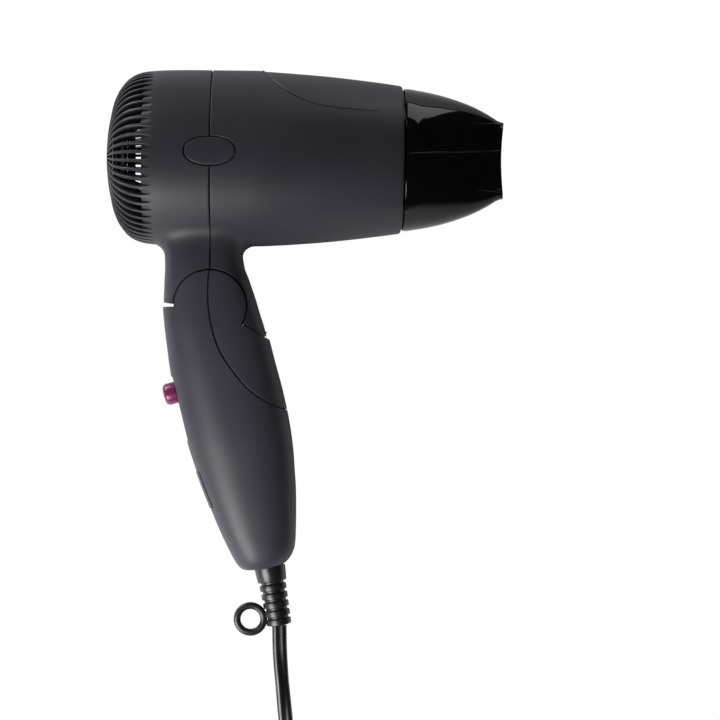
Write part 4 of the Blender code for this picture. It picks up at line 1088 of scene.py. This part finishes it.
def handle_shells():
    end = [-171.6, -171.45, -171.2, -170.8, -170.3, -169.7, -169.0]
    heights = end + steps_of(-168.2, -45.0, 0.95)
    base = solid("handle_base", loft_part([handle_ring(y) for y in heights]))
    trim = block("trim", sector(KNUCKLE, TRIM_REACH, STOP_COVER, REAR_HANDLE))
    hollow = handle_core("hollow", 1.7, -168.0, -44.0, 4.0)
    cheeks = both_sides(circle(KNUCKLE + 0.6, 96, HINGE), 13.5, 30.0)
    cut(hollow, cheeks)
    core = block("core", circle(POCKET, 120, HINGE), 13.5)
    lip_room = lip_sweep("lip_room", TONGUE, 0.25, -113.0, STOP_NECK)
    visible = [tuple(p) for p in SEAM_LINE if p[1] < -49.0 and p[0] < table(HANDLE_FRONT, p[1]) - 0.6]
    seam_edge = groove("seam_edge", visible, handle_z, 0.30, 0.16, 0.7)
    rim_line = arc(KNUCKLE, REAR_HANDLE + 1, STOP_COVER - 1, 150, HINGE)
    rim_edge = groove("rim_edge", rim_line, handle_z, 0.001, 0.28, 0.30)
    cut(base, trim, hollow, core, lip_room, seam_edge, rim_edge)

    gap = 0.2
    ahead = seam_offset(-gap) + [(60.0, -40.0)]
    behind = seam_offset(gap) + [(60.0, -200.0), (-60.0, -200.0), (-60.0, -40.0)]
    made = {}
    for side, away in (("rear", ahead), ("front", behind)):
        away = block("away", away)
        made[side] = copy_of("handle_" + side, base)
        cut(made[side], away)
    ledge = seam_ledge(core, lip_room, trim)
    plate = rear_plate()
    openings = rear_openings()
    add(made["rear"], ledge)
    add(made["rear"], plate)
    cut(made["rear"], *openings)
    settle(made["rear"], "handle", CHARCOAL, ("handle_rear_shell",))
    settle(made["front"], "handle", CHARCOAL, ("handle_front_cover",))


def rear_plate():
    """The thin raised plate low on the handle's rear face."""
    low, high = -146.5, -131.5
    plate = handle_core("rear_plate", -0.30, low, high, 1.0)
    inside = handle_core("plate_inside", 0.9, low - 2.0, high + 2.0, 1.0)
    edge = [(table(HANDLE_REAR, y) + 1.1, y) for y in steps_of(low - 1.0, high + 1.0, 1.0)]
    window = block("window", edge + [(-60.0, high + 1.0), (-60.0, low - 1.0)], 8.0)
    carve(plate, ('INTERSECT', window), ('DIFFERENCE', inside))
    return plate


def knob():
    radius, top, crown = 4.6, 5.6, 2.1
    shape = [(0.3, 0.0), (0.3, radius - 0.25), (0.55, radius - 0.02), (1.6, radius)]
    for k in range(1, 11):
        a = pi / 2 * k / 10
        shape.append((top - crown + crown * sin(a), radius - crown + crown * cos(a)))
    shape += [(top + 0.12, 1.2), (top + 0.16, 0.0)]
    button = solid("slide_button", turned_part(shape, 72, switch_frame()))
    stem = rounded(rectangle(-1.5, -1.0, 1.5, 1.0), 0.4)
    stem = solid("stem", prism_part(stem, -3.2, 1.0, switch_frame()))
    add(button, stem)
    settle(button, "switch", MAGENTA, ("switch_knob",), sharp=40.0)


# ------------------------------------------------------------------ strain relief and ring

def boot():
    """The ribbed strain relief, from its collar in the handle's end to its tip."""
    outline = [(-2.0, 0.0), (-2.0, 5.0), (0.3, 5.0), (0.3, 6.5), (1.2, 6.5)]
    outline += [(6.0, 6.12), (6.35, 5.95), (6.5, 5.6)]
    start, pitch = 6.5, 3.66
    for k in range(5):
        a = start + pitch * k
        groove_r = 4.75 - 0.09 * k
        rib_r = 5.62 - 0.10 * k
        outline += [(a + 0.1, groove_r + 0.1), (a + 0.35, groove_r), (a + 0.85, groove_r),
                    (a + 1.1, groove_r + 0.12)]
        for t in range(7):
            turn = pi * t / 6
            outline.append((a + 1.2 + (pitch - 1.2) * (1 - cos(turn)) / 2,
                            groove_r + 0.2 + (rib_r - groove_r - 0.2) * min(1.0, 1.5 * sin(turn) ** 0.7)))
    end = start + pitch * 5
    outline += [(end + 0.15, 4.4), (end + 0.3, 3.9), (end + 0.3, 0.0)]
    piece = solid("ribbed_boot", turned_part(outline, 72, boot_frame()))
    settle(piece, "handle", RUBBER, ("strain_relief",), sharp=40.0)


RING_CENTRE = (17.75, -193.2)
RING_RADIUS = 5.6


def ring():
    """The hanging ring, rounded, touching the strain relief."""
    section = superellipse(1.5, 1.5, 2.4, 28)
    rings = []
    for k in range(96):
        turn = 2 * pi * k / 96
        rings.append([(*circle_point(RING_RADIUS + u, turn, RING_CENTRE), v) for u, v in section])
    piece = solid("hang_ring", loft_part(rings, closed=True))
    settle(piece, "handle", RUBBER, ("hanging_ring",), sharp=60.0)


barrel_shells()
side_caps()
nozzle()
handle_shells()
knob()
boot()
ring()
clear_loose()


# ------------------------------------------------------------------ studio

def area_light(name, place, target, size, power, mirrored=False):
    """A square lamp; only a mirrored one shows as a reflection in gloss."""
    data = bpy.data.lights.new(name, 'AREA')
    data.shape = 'RECTANGLE'
    data.size = data.size_y = size
    data.energy = power
    light = bpy.data.objects.new(name, data)
    bpy.context.scene.collection.objects.link(light)
    turn = (Vector(target) - Vector(place)).to_track_quat('-Z', 'Y')
    light.matrix_world = Matrix.Translation(place) @ turn.to_matrix().to_4x4()
    light.visible_glossy = mirrored


def seen_white(tree, surface, shader):
    """Camera rays meet an even white, and every other ray meets the shader given."""
    glow = tree.nodes.new("ShaderNodeEmission")
    rays = tree.nodes.new("ShaderNodeLightPath")
    mix = tree.nodes.new("ShaderNodeMixShader")
    tree.links.new(rays.outputs["Is Camera Ray"], mix.inputs[0])
    tree.links.new(shader.outputs[0], mix.inputs[1])
    tree.links.new(glow.outputs[0], mix.inputs[2])
    tree.links.new(mix.outputs[0], surface.inputs["Surface"])


def paper():
    """White paper that bounces light as paper does and, like the photograph's, shows no shadow."""
    made = finish_of("studio_paper", (0.90, 0.90, 0.90), 0.9, vary=0.004, patch=2.0, grain=400.0,
                     bump=0.0, level=0.0)
    tree = made.node_tree
    seen_white(tree, tree.nodes["Material Output"], tree.nodes["Principled BSDF"])
    return made


def studio():
    """A lamp close to the lower end of the handle, and weaker ones all round it."""
    bpy.ops.mesh.primitive_plane_add(size=12.0, location=(0.0, 0.0, -0.0006))
    floor = bpy.context.object
    floor.name = "studio_floor"
    floor.data.materials.append(paper())
    world = bpy.data.worlds.new("studio")
    world.use_nodes = True
    tree = world.node_tree
    ambient = tree.nodes["Background"]
    ambient.inputs["Color"].default_value = (1.0, 1.0, 1.0, 1.0)
    ambient.inputs["Strength"].default_value = 0.03
    seen_white(tree, tree.nodes["World Output"], ambient)
    bpy.context.scene.world = world
    low, high, middle, wide = 0.175, 0.455, (0.0, 0.0, 0.03), 0.30
    area_light("key", (-0.16, -0.22, 0.17), (-0.02, -0.08, 0.03), 0.16, 1.25, mirrored=True)
    area_light("left", (-0.41, 0.41, low), middle, wide, 2.5, mirrored=True)
    area_light("front", (-0.30, -0.30, high), middle, wide, 0.4)
    area_light("right", (0.42, 0.0, high), middle, wide, 0.6)
    area_light("top", (0.20, 0.55, low), middle, wide, 0.6, mirrored=True)
    view = bpy.context.scene.view_settings
    view.view_transform = 'Standard'
    view.look = 'None'
    view.exposure = 0.0


studio()
